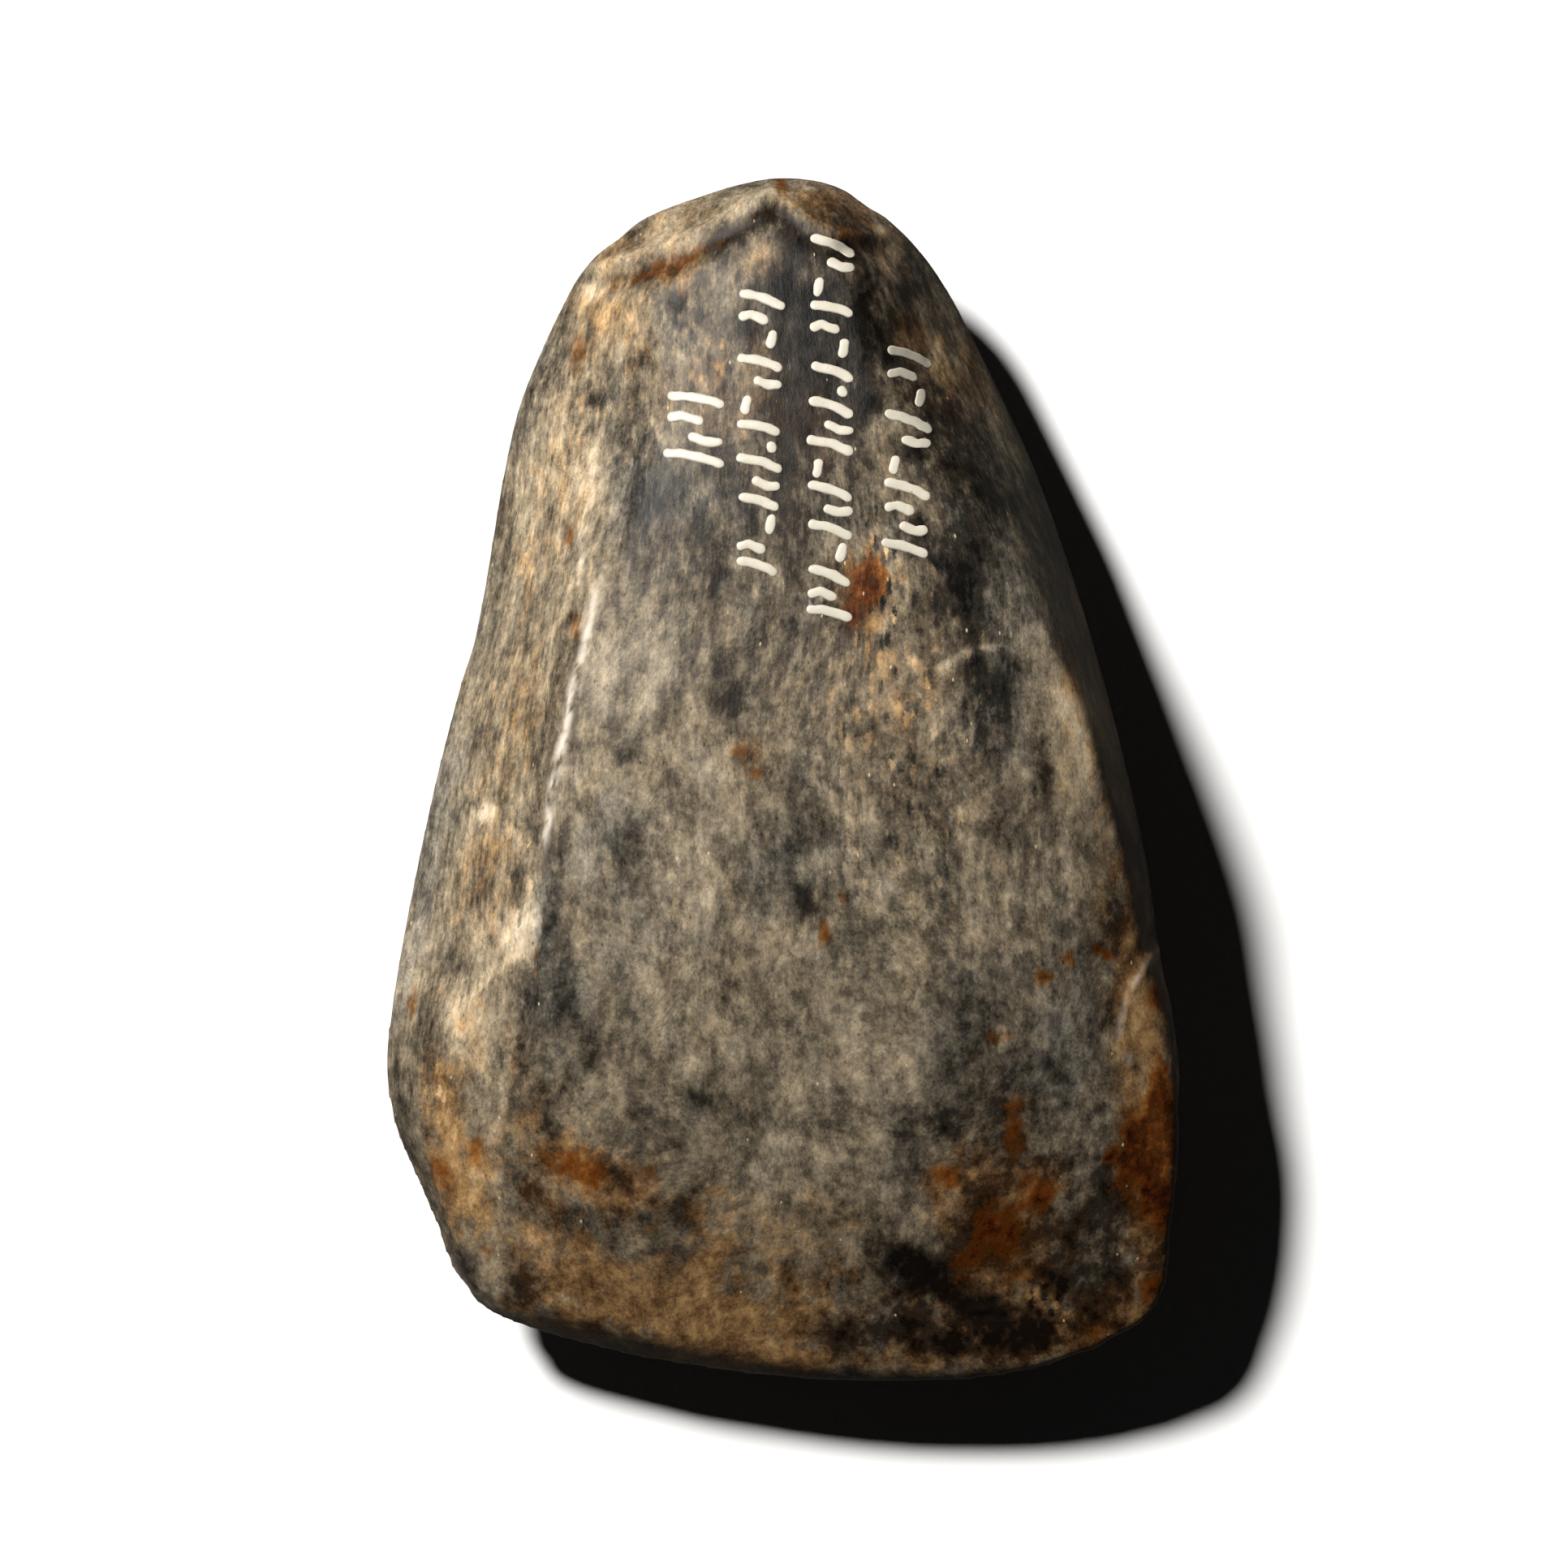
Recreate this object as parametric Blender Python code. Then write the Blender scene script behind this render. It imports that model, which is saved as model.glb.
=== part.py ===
"""A polished stone axe head, lying on its back face: one piece of stone, ground to a lens shape.

Metres, +Z up. The cutting edge points to -Y and the butt to +Y. The origin is on the bench,
under the middle of the stone, which rests on a small ground flat.
"""

import math

import bmesh
import bpy
import numpy as np
from mathutils import Vector, noise

# Driving sizes of the stone
LENGTH = 0.084
WIDTH = 0.0552
THICKNESS = 0.024
REST_FLAT_DEPTH = 0.0005

# The stone seen from above, as (share of the width, share of the length) from the middle.
# It runs from the butt down the left side, along the cutting edge and up the right side.
OUTLINE = (
    (0.000, 0.500), (-0.050, 0.495), (-0.100, 0.485), (-0.165, 0.469), (-0.220, 0.446), (-0.252, 0.423),
    (-0.272, 0.400), (-0.300, 0.362), (-0.331, 0.311), (-0.350, 0.257), (-0.364, 0.203), (-0.376, 0.155),
    (-0.388, 0.119), (-0.410, 0.069), (-0.441, -0.012), (-0.475, -0.120), (-0.495, -0.200),
    (-0.500, -0.240), (-0.494, -0.272), (-0.476, -0.308), (-0.440, -0.362), (-0.424, -0.394),
    (-0.408, -0.415), (-0.389, -0.433), (-0.331, -0.453), (-0.208, -0.476), (-0.116, -0.487),
    (-0.024, -0.495), (0.068, -0.4995), (0.160, -0.500), (0.252, -0.497), (0.330, -0.488),
    (0.400, -0.472), (0.450, -0.453), (0.476, -0.432), (0.487, -0.410), (0.490, -0.380),
    (0.495, -0.340), (0.500, -0.295), (0.499, -0.240), (0.489, -0.187), (0.475, -0.146), (0.458, -0.066),
    (0.432, 0.015), (0.400, 0.096), (0.363, 0.177), (0.320, 0.257), (0.283, 0.311), (0.240, 0.370),
    (0.204, 0.413), (0.166, 0.446), (0.122, 0.472), (0.064, 0.494),
)

# Chips in the outline: where each is, as shares of width and length, then its reach and depth as shares
# of the length
CHIPS = (
    (-0.212, 0.450, 0.019, 0.0036), (-0.241, 0.431, 0.012, 0.0021), (-0.391, 0.110, 0.024, 0.0014),
    (-0.398, -0.424, 0.010, 0.0050), (0.4975, -0.270, 0.017, 0.0031), (0.4915, -0.372, 0.013, 0.0021),
    (0.424, -0.464, 0.021, 0.0040), (0.366, -0.481, 0.019, 0.0031), (0.296, -0.492, 0.011, 0.0017),
    (0.105, 0.477, 0.015, 0.0024),
)

# Heights on the long middle line, as (share of the length, share of the thickness)
FRONT_CROWN = (
    (-0.50, 0.362), (-0.47, 0.422), (-0.43, 0.500), (-0.38, 0.596), (-0.31, 0.712), (-0.21, 0.850), (-0.11, 0.950),
    (-0.03, 0.992), (0.04, 1.000), (0.12, 0.982), (0.28, 0.905), (0.38, 0.822), (0.45, 0.750), (0.50, 0.690),
)
BACK_CROWN = (
    (-0.50, 0.280), (-0.47, 0.220), (-0.43, 0.158), (-0.38, 0.100), (-0.31, 0.048), (-0.20, 0.007), (-0.06, 0.000),
    (0.12, 0.010), (0.28, 0.070), (0.40, 0.160), (0.50, 0.270),
)

# How far each face falls from its middle line to half a width away, as (share of the length, fall on the
# left, fall on the right), in shares of the thickness
FRONT_CAMBER = (
    (-0.50, 0.12, 0.05), (-0.36, 0.16, 0.14), (-0.24, 0.20, 0.28), (-0.12, 0.25, 0.44), (-0.04, 0.29, 0.56),
    (0.06, 0.34, 0.54), (0.20, 0.46, 0.52), (0.36, 0.72, 0.74), (0.50, 1.10, 1.10),
)
BACK_CAMBER = (
    (-0.50, 0.13, 0.12), (-0.36, 0.18, 0.17), (-0.20, 0.22, 0.21), (0.00, 0.27, 0.26), (0.20, 0.40, 0.39),
    (0.36, 0.64, 0.63), (0.50, 0.96, 0.95),
)
CAMBER_POWER = 2.8
FRONT_CROWN_X = 0.050
BACK_CROWN_X = 0.010

# The rim and the ground flanks, by the share of the way round the outline from the butt, with the left
# side first: the height of the rim as a share of the thickness, the angles of the front and back flanks in
# degrees, then the radius worn on the rim and the width of the rounding where a flank runs into its face,
# as shares of the thickness
FLANKS = (
    (0.000, 0.46, 74, 50, 0.048, 0.04), (0.040, 0.45, 68, 50, 0.048, 0.05), (0.080, 0.44, 48, 50, 0.048, 0.16),
    (0.100, 0.44, 42, 50, 0.046, 0.18), (0.120, 0.44, 44, 52, 0.044, 0.14), (0.140, 0.44, 47, 54, 0.042, 0.08),
    (0.160, 0.44, 52, 54, 0.040, 0.05), (0.180, 0.44, 55, 54, 0.040, 0.02), (0.200, 0.43, 54, 54, 0.036, 0.016),
    (0.240, 0.43, 50, 54, 0.034, 0.016), (0.262, 0.42, 47, 54, 0.032, 0.018), (0.282, 0.42, 44, 54, 0.032, 0.020),
    (0.300, 0.42, 50, 54, 0.032, 0.030), (0.315, 0.41, 54, 54, 0.030, 0.035), (0.340, 0.40, 64, 52, 0.024, 0.032),
    (0.370, 0.38, 68, 52, 0.018, 0.040),
    (0.400, 0.33, 62, 54, 0.012, 0.050), (0.430, 0.31, 60, 58, 0.006, 0.030), (0.470, 0.31, 60, 58, 0.005, 0.030),
    (0.520, 0.33, 60, 58, 0.005, 0.030), (0.570, 0.35, 60, 58, 0.006, 0.030), (0.600, 0.39, 60, 56, 0.008, 0.040),
    (0.620, 0.44, 66, 54, 0.012, 0.050), (0.650, 0.53, 70, 54, 0.016, 0.050), (0.700, 0.58, 70, 56, 0.018, 0.060),
    (0.750, 0.52, 74, 58, 0.030, 0.080),
    (0.800, 0.46, 78, 58, 0.050, 0.110), (0.840, 0.42, 75, 58, 0.064, 0.200), (0.880, 0.39, 69, 56, 0.066, 0.220),
    (0.920, 0.36, 60, 54, 0.070, 0.240), (0.970, 0.42, 64, 50, 0.056, 0.080),
)
FLANK_BLEND = 0.0030
NEARNESS_POWER = 3
LEAST_EDGE_SLOPE = 0.30

# Flat scars where a flake came off: a point on the scar as shares of width, length and thickness,
# then the compass direction that it faces, its tilt from level and its rounding as a share of the thickness
FRONT_SCARS = (
    (-0.134, 0.436, 0.665, 125, 55, 0.020),
    (0.040, 0.457, 0.735, 66, 58, 0.028),
    (-0.444, -0.307, 0.560, 201, 44, 0.024),
)
BACK_SCARS = (
    (0.030, 0.430, 0.200, 85, 40, 0.040),
    (-0.360, -0.180, 0.160, 190, 38, 0.040),
)

# The slow unevenness left by grinding by hand
SWELL_DEPTH = 0.00016
SWELL_SPACING = 0.009
SWELL_STRETCH = 1.7

# A fine stone is shaped first, then thinned to the faces that its form needs
MERIDIANS = 240
RINGS = 96
TRIANGLES = 9400
OUTLINE_STEPS = 8
POINTS_AT_ONCE = 4000
FACING_SMOOTHING = 12
POLE_Y = -0.05

STONE_COLOUR = (0.175, 0.150, 0.118, 1.0)
STONE_ROUGHNESS = 0.30


def smooth_profile(table, at):
    """The value at each place, on a smooth curve through a table's points."""
    xs, ys = np.array(table).T
    slopes = np.gradient(ys, xs)
    at = np.clip(at, xs[0], xs[-1])
    i = np.clip(np.searchsorted(xs, at, side="right") - 1, 0, len(xs) - 2)
    step = xs[i + 1] - xs[i]
    t = (at - xs[i]) / step
    return (
        (2 * t**3 - 3 * t**2 + 1) * ys[i]
        + (t**3 - 2 * t**2 + t) * step * slopes[i]
        + (-2 * t**3 + 3 * t**2) * ys[i + 1]
        + (t**3 - t**2) * step * slopes[i + 1]
    )


def outline_curve():
    """The outline in metres as a closed run of equally spaced points, on a smooth curve through OUTLINE."""
    points = np.array(OUTLINE) * (WIDTH, LENGTH)
    before, after, beyond = (np.roll(points, k, axis=0) for k in (1, -1, -2))
    curve = []
    for t in np.arange(OUTLINE_STEPS) / OUTLINE_STEPS:
        curve.append(
            points
            + (after - before) * t / 2
            + (before - 2.5 * points + 2 * after - beyond / 2) * t**2
            + (3 * points - before - 3 * after + beyond) * t**3 / 2
        )
    curve = np.stack(curve, axis=1).reshape(-1, 2)
    closed = np.vstack([curve, curve[:1]])
    along = np.concatenate([[0], np.cumsum(np.linalg.norm(np.diff(closed, axis=0), axis=1))])
    at = np.linspace(0, along[-1], MERIDIANS, endpoint=False)
    return np.stack([np.interp(at, along, closed[:, k]) for k in range(2)], axis=1)


def chipped(curve):
    """The outline with a bite pushed inwards at each chip."""
    run = np.roll(curve, -1, axis=0) - np.roll(curve, 1, axis=0)
    inward = np.stack([-run[:, 1], run[:, 0]], axis=1)
    for _ in range(FACING_SMOOTHING):
        inward = np.roll(inward, 1, axis=0) + 2 * inward + np.roll(inward, -1, axis=0)
    inward /= np.linalg.norm(inward, axis=1)[:, None]
    depth = np.zeros(len(curve))
    for at_x, at_y, reach, deep in CHIPS:
        gap = np.linalg.norm(curve - (at_x * WIDTH, at_y * LENGTH), axis=1) / (reach * LENGTH)
        depth += deep * LENGTH * np.clip(1 - gap**2, 0, 1)
    return curve + depth[:, None] * inward


def flanks_near(curve, plan):
    """For each plan point: its distance to the outline, and the values of FLANKS that hold there."""
    way_round = np.arange(len(curve)) / len(curve)
    shares, *columns = np.array((*FLANKS, (1.0, *FLANKS[0][1:]))).T
    values = np.stack([np.interp(way_round, shares, column) for column in columns], axis=1)
    run = np.roll(curve, -1, axis=0) - curve
    distance, nearby = [], []
    for some in np.array_split(plan, 1 + len(plan) // POINTS_AT_ONCE):
        gap_x = some[:, :1] - curve[:, 0]
        gap_y = some[:, 1:] - curve[:, 1]
        weight = (gap_x**2 + gap_y**2 + FLANK_BLEND**2) ** -NEARNESS_POWER
        nearby.append(weight @ values / weight.sum(axis=1)[:, None])
        t = np.clip((gap_x * run[:, 0] + gap_y * run[:, 1]) / (run**2).sum(axis=1), 0, 1)
        gap = (gap_x - t * run[:, 0]) ** 2 + (gap_y - t * run[:, 1]) ** 2
        distance.append(np.sqrt(gap.min(axis=1)))
    return np.concatenate(distance), np.concatenate(nearby).T


def soft_min(a, b, softness):
    """The lower of two heights, with a fillet of about this width where they meet."""
    share = np.maximum(softness - np.abs(a - b), 0) / softness
    return np.minimum(a, b) - share**2 * softness / 4


def with_scars(face, x, y, scars, side):
    """The face cut back to the plane of each scar; side is 1 for the front and -1 for the back."""
    for at_x, at_y, at_z, facing, tilt, rounding in scars:
        turn = math.radians(facing)
        away = (x - at_x * WIDTH) * math.cos(turn) + (y - at_y * LENGTH) * math.sin(turn)
        plane = side * at_z * THICKNESS - away * math.tan(math.radians(tilt))
        face = side * soft_min(side * face, plane, rounding * THICKNESS)
    return face


def flank_rise(distance, degrees, rim_radius):
    """How far a flank stands from the rim, at a distance in from the outline."""
    return np.sqrt((np.tan(np.radians(degrees)) * distance) ** 2 + 2 * rim_radius * distance)


def camber(table, crown_x, x, along):
    """How far a face has fallen from its middle line, as a share of the thickness."""
    shares, *falls = np.array(table).T
    left, right = (smooth_profile(np.column_stack((shares, fall)), along) for fall in falls)
    return np.where(x > crown_x * WIDTH, right, left) * np.abs((x / WIDTH - crown_x) * 2) ** CAMBER_POWER


def swell(x, y, side):
    """A slow rise and fall of the surface, longer along the stone than across it."""
    places = zip(x / SWELL_SPACING, y / SWELL_SPACING / SWELL_STRETCH)
    return np.array([noise.noise(Vector((px, py, side / 2))) for px, py in places]) * SWELL_DEPTH


def shape_stone(mesh):
    """Moves the points of a unit ball to the surface of the stone."""
    ball = np.array([v.co for v in mesh.verts])
    curve = outline_curve()
    column = np.round(np.arctan2(ball[:, 1], ball[:, 0]) / (2 * math.pi) * MERIDIANS).astype(int) % MERIDIANS
    pole = np.array((0.0, POLE_Y * LENGTH))
    plan = pole + np.hypot(ball[:, 0], ball[:, 1])[:, None] * (chipped(curve)[column] - pole)
    x, y = plan.T
    along = y / LENGTH
    distance, (rim, front_deg, back_deg, rim_radius, rounding) = flanks_near(curve, plan)
    rim, rim_radius, rounding = rim * THICKNESS, rim_radius * THICKNESS, rounding * THICKNESS
    wedge = LEAST_EDGE_SLOPE * distance
    uneven = np.clip(distance / SWELL_SPACING, 0, 1)

    front = (smooth_profile(FRONT_CROWN, along) - camber(FRONT_CAMBER, FRONT_CROWN_X, x, along)) * THICKNESS
    front = soft_min(front + swell(x, y, 1) * uneven, rim + flank_rise(distance, front_deg, rim_radius), rounding)
    front = np.maximum(with_scars(front, x, y, FRONT_SCARS, 1), rim + wedge)

    back = (smooth_profile(BACK_CROWN, along) + camber(BACK_CAMBER, BACK_CROWN_X, x, along)) * THICKNESS
    back = -soft_min(swell(x, y, -1) * uneven - back, flank_rise(distance, back_deg, rim_radius) - rim, rounding)
    back = np.minimum(with_scars(back, x, y, BACK_SCARS, -1), rim - wedge)

    z = np.where(ball[:, 2] > 0, front, back)
    on_rim = np.abs(ball[:, 2]) < 0.5 / RINGS
    z[on_rim] = rim[on_rim]
    z = np.maximum(z - back.min() - REST_FLAT_DEPTH, 0)
    for vertex, place in zip(mesh.verts, np.column_stack([plan, z])):
        vertex.co = place


def fit_to_size(mesh):
    """Scales each direction to the driving size, and puts the origin under the middle."""
    points = np.array([v.co for v in mesh.verts])
    low, high = points.min(axis=0), points.max(axis=0)
    scale = np.array((WIDTH, LENGTH, THICKNESS)) / (high - low)
    middle = np.array(((low[0] + high[0]) / 2, (low[1] + high[1]) / 2, low[2]))
    for vertex, place in zip(mesh.verts, (points - middle) * scale):
        vertex.co = place


def stone_material():
    material = bpy.data.materials.new("polished_stone")
    material.use_nodes = True
    shader = material.node_tree.nodes["Principled BSDF"]
    shader.inputs["Base Color"].default_value = STONE_COLOUR
    shader.inputs["Roughness"].default_value = STONE_ROUGHNESS
    shader.inputs["Metallic"].default_value = 0.0
    return material


def axe_head(collection):
    """The whole stone as one mesh."""
    mesh = bmesh.new()
    bmesh.ops.create_uvsphere(mesh, u_segments=MERIDIANS, v_segments=RINGS, radius=1.0)
    shape_stone(mesh)
    fit_to_size(mesh)
    triangles = sum(len(face.verts) - 2 for face in mesh.faces)
    data = bpy.data.meshes.new("axe_head")
    mesh.to_mesh(data)
    mesh.free()
    data.materials.append(stone_material())
    data.shade_smooth()
    stone = bpy.data.objects.new("axe_head", data)
    collection.objects.link(stone)
    stone.modifiers.new("thin_to_form", "DECIMATE").ratio = TRIANGLES / triangles


def main():
    for existing in list(bpy.data.objects):
        bpy.data.objects.remove(existing)
    collection = bpy.data.collections.new("polished_axe_head")
    bpy.context.scene.collection.children.link(collection)
    axe_head(collection)


main()
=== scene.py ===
"""Looks of a polished stone axe head that lies on its back face, seen from above.

All places on the stone are in millimetres from the middle of its plan: x to the right, y to the butt.
"""

import math

import bmesh
import bpy
import numpy as np
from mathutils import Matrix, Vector, noise
from mathutils.bvhtree import BVHTree


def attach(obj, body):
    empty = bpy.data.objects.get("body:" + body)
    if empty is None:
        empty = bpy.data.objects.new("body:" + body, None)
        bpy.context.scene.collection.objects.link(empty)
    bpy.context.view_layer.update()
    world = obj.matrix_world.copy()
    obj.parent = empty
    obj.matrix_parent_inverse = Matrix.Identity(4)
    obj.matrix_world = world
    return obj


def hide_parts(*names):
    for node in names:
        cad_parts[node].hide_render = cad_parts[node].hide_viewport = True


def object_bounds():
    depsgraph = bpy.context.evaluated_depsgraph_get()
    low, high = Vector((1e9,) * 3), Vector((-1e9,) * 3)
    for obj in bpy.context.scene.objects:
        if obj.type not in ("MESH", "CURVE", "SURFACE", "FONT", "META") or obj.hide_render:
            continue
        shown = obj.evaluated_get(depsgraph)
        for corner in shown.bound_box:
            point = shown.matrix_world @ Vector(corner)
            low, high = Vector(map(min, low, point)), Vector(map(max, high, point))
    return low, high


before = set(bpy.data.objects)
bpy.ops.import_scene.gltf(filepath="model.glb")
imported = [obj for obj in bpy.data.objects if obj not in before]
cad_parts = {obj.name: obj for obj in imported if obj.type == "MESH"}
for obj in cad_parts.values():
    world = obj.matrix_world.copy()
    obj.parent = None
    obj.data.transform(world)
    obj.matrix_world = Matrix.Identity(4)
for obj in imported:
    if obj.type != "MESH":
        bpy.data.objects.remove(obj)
cad_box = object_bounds()


# The stone
# One lump of tough, fibrous rock that was flaked and pecked to shape, then ground and polished by hand on
# a wet slab. The body is even and lens-shaped, with the old flake and peck scars left where they ran deep.

MM = 0.001
EVEN_FACE = 0.36 * MM
SMOOTHING_ROUNDS = 5
SHRINK_STEP = 0.50
SWELL_STEP = -0.52


def even_copy(node, name):
    """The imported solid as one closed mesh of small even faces."""
    merged = bmesh.new()
    merged.from_mesh(node.data)
    bmesh.ops.remove_doubles(merged, verts=merged.verts, dist=0.001 * MM)
    data = bpy.data.meshes.new(name + "_form")
    merged.to_mesh(data)
    merged.free()
    form = bpy.data.objects.new(name + "_form", data)
    bpy.context.scene.collection.objects.link(form)
    remesh = form.modifiers.new("even_faces", "REMESH")
    remesh.mode = "VOXEL"
    remesh.voxel_size = EVEN_FACE
    remesh.use_smooth_shade = True
    made = bpy.data.meshes.new_from_object(form.evaluated_get(bpy.context.evaluated_depsgraph_get()))
    bpy.data.objects.remove(form)
    piece = bpy.data.objects.new(name, made)
    made.name = name
    bpy.context.scene.collection.objects.link(piece)
    return piece


def points_of(mesh):
    places = np.empty(len(mesh.vertices) * 3)
    mesh.vertices.foreach_get("co", places)
    return places.reshape(-1, 3)


def normals_of(mesh):
    normals = np.empty(len(mesh.vertices) * 3)
    mesh.vertex_normals.foreach_get("vector", normals)
    return normals.reshape(-1, 3)


def put_points(mesh, places):
    mesh.vertices.foreach_set("co", places.ravel())
    mesh.update()


def smoothed(mesh, values, rounds, steps):
    """Values at the vertices, each moved towards the mean of its neighbours, for some rounds."""
    ends = np.empty(len(mesh.edges) * 2, np.int32)
    mesh.edges.foreach_get("vertices", ends)
    a, b = ends.reshape(-1, 2).T
    count = np.bincount(ends, minlength=len(values))[:, None]
    for _ in range(rounds):
        for step in steps:
            mean = np.zeros_like(values)
            for k, column in enumerate(values.T):
                mean[:, k] = np.bincount(a, column[b], len(values)) + np.bincount(b, column[a], len(values))
            values = values + step * (mean / count - values)
    return values


stone = even_copy(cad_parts["axe_head"], "polished_axe_head")
rock = stone.data
put_points(rock, smoothed(rock, points_of(rock), SMOOTHING_ROUNDS, (SHRINK_STEP, SWELL_STEP)))

X, Y, Z = points_of(rock).T / MM
FACING = normals_of(rock)
# How fast the marks of the front fade as the stone turns to its back
FRONT_FADE = 3.0
ON_FRONT = np.clip(FACING[:, 2] * FRONT_FADE + 0.5, 0, 1)


def rough(grain, stretch=1.0, octaves=4, seed=0.0, sharp=0.5):
    """Uneven values from about -1 to 1 over the stone; grain is the size of the lumps in millimetres."""
    places = zip(X / grain, Y / (grain * stretch), Z / grain + seed)
    return np.array([noise.fractal(Vector(place), sharp, 2.0, octaves) for place in places])


WANDER = rough(6.0, stretch=1.5, octaves=3, seed=3.1)
FRAY = rough(1.4, stretch=2.0, octaves=3, seed=9.7)
# How far the rim of an oval patch strays, as a share of the patch
RAGGED = 0.34 * (0.5 * WANDER + 0.7 * FRAY)
EDGE_FRAY = 0.12
EDGE_WIDTH = 0.25


def oval(x, y, reach_x, reach_y, turn=0.0):
    """1 in the middle of an oval patch on the front, falling to 0 at its ragged rim; turn is clockwise."""
    lean = math.radians(turn)
    across = (X - x) * math.cos(lean) - (Y - y) * math.sin(lean)
    along = (Y - y) * math.cos(lean) + (X - x) * math.sin(lean)
    gap = np.hypot(across / reach_x, along / reach_y) + RAGGED
    inside = np.clip(1 - gap, 0, 1)
    return inside * inside * (3 - 2 * inside) * ON_FRONT


def line_gap(points):
    """Distance to a line through some points, in millimetres, with a minus sign on its right-hand side."""
    best = np.full(len(X), np.inf)
    signed = np.zeros(len(X))
    for (x0, y0), (x1, y1) in zip(points, points[1:]):
        run_x, run_y = x1 - x0, y1 - y0
        length = math.hypot(run_x, run_y)
        share = np.clip(((X - x0) * run_x + (Y - y0) * run_y) / length**2, 0, 1)
        gap = np.hypot(X - x0 - share * run_x, Y - y0 - share * run_y)
        side = np.sign(run_x * (Y - y0) - run_y * (X - x0))
        closer = gap < best
        best = np.where(closer, gap, best)
        signed = np.where(closer, gap * side, signed)
    return signed


def groove(points, width):
    """1 on a line, falling to 0 at this many millimetres from it."""
    return np.exp(-((line_gap(points) / width) ** 2)) * ON_FRONT


def ledge(points, run):
    """1 just to the right of a line as it is drawn, falling to 0 over some millimetres; 0 to its left."""
    gap = -line_gap(points) + EDGE_FRAY * FRAY
    return np.clip(gap / EDGE_WIDTH, 0, 1) * np.exp(-np.abs(gap) / run) * ON_FRONT


# Places of what shows as form on the front, and its depths, in millimetres
SIDE_RIDGE = (
    (-12.4, 14.8), (-13.5, 9.2), (-14.4, 5.8), (-15.1, 2.4), (-15.8, -1.0), (-16.3, -3.8), (-16.6, -5.5),
)
FLAKE_STEP = (
    (-16.5, -4.1), (-16.2, -5.9), (-16.7, -8.0), (-16.2, -9.0), (-16.4, -10.6), (-16.8, -11.5),
    (-17.9, -11.9), (-19.7, -13.4), (-20.6, -14.2),
)
THIN_CRACK = ((-16.9, -11.6), (-16.9, -12.9), (-17.8, -14.7), (-18.0, -16.8), (-18.6, -19.6), (-18.9, -21.7))
DEEP_SCRATCH = ((10.7, 7.6), (12.1, 8.6), (14.3, 9.2))
RIGHT_SCAR_GROOVE = ((18.0, 2.6), (18.2, -0.3), (18.7, -3.9), (19.0, -6.6), (19.6, -10.6))
RIGHT_CHIP_RIDGE = ((26.3, -11.4), (25.0, -12.8), (24.0, -14.4), (23.4, -16.8), (23.9, -19.4))
BESIDE_CHIP_RIDGE = ((25.8, -10.6), (24.4, -12.2), (23.3, -14.2), (22.7, -16.8))
BUTT_SEAM = ((0.1, 42.0), (-0.3, 40.6), (-0.2, 39.2))
BUTT_RIDGE = ((-13.0, 35.6), (-9.9, 36.3), (-7.2, 36.9), (-4.7, 38.2), (-3.0, 39.2), (-0.8, 40.4))
UNDER_BUTT_RIDGE = ((-12.0, 34.4), (-9.5, 35.2), (-7.0, 35.9), (-4.6, 37.2), (-2.6, 38.3), (-0.6, 39.3))
BUTT_RIGHT_RIDGE = ((-0.6, 40.4), (1.5, 38.9), (3.6, 37.6), (6.9, 37.8))
UNDER_RIGHT_RIDGE = ((-0.4, 39.4), (1.4, 37.9), (3.6, 36.6), (7.2, 36.7))
# Fine scratches that catch the lamp, put in only as lighter lines of painted glint
SCRATCH_GLINTS = (
    ((-8.3, 32.6), (-6.5, 28.4)), ((-6.7, 29.8), (-3.9, 24.4)), ((-9.4, 26.4), (-8.0, 22.6)),
    ((-12.4, 24.6), (-13.2, 19.8)), ((-22.4, -30.6), (-20.9, -32.8)), ((-17.9, -29.4), (-17.2, -31.4)),
)
# Small bites out of the ridge and the rim of the flank: x, y, reach, depth
PITS = (
    (-13.9, 11.0, 0.8, 0.16), (-14.4, 8.6, 1.0, 0.14), (-15.4, 3.0, 0.8, 0.12), (-16.3, -2.6, 0.8, 0.16),
    (-20.5, -2.1, 0.8, 0.14), (-13.2, 34.0, 0.9, 0.16), (4.3, 37.3, 1.1, 0.24), (-7.3, 33.0, 0.7, 0.10),
    (25.2, -24.5, 0.8, 0.12), (-3.4, 2.2, 0.7, 0.10), (-2.0, 0.7, 0.6, 0.09), (14.8, -17.4, 0.7, 0.08),
    (21.8, -11.6, 0.6, 0.10), (22.5, -11.8, 0.6, 0.10), (9.2, -27.6, 0.6, 0.08), (-21.1, -25.0, 0.8, 0.12),
)
PIT_WIDTH = 1.6
PIT_LENGTH = 1.9
# Ridges and grooves: the line, the reach of its sides and its height, or its depth with a minus sign
LINE_RELIEF = (
    (SIDE_RIDGE, 0.40, 0.03), (THIN_CRACK, 0.30, -0.08), (DEEP_SCRATCH, 0.40, -0.12),
    (DEEP_SCRATCH, 1.0, 0.05), (RIGHT_SCAR_GROOVE, 0.35, -0.08), (RIGHT_CHIP_RIDGE, 0.40, 0.10),
    (BESIDE_CHIP_RIDGE, 0.50, -0.12), (BUTT_SEAM, 0.55, -0.14), (BUTT_RIDGE, 0.60, 0.40),
    (UNDER_BUTT_RIDGE, 0.80, -0.38), (BUTT_RIGHT_RIDGE, 0.50, 0.24), (UNDER_RIGHT_RIDGE, 0.70, -0.26),
)
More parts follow.
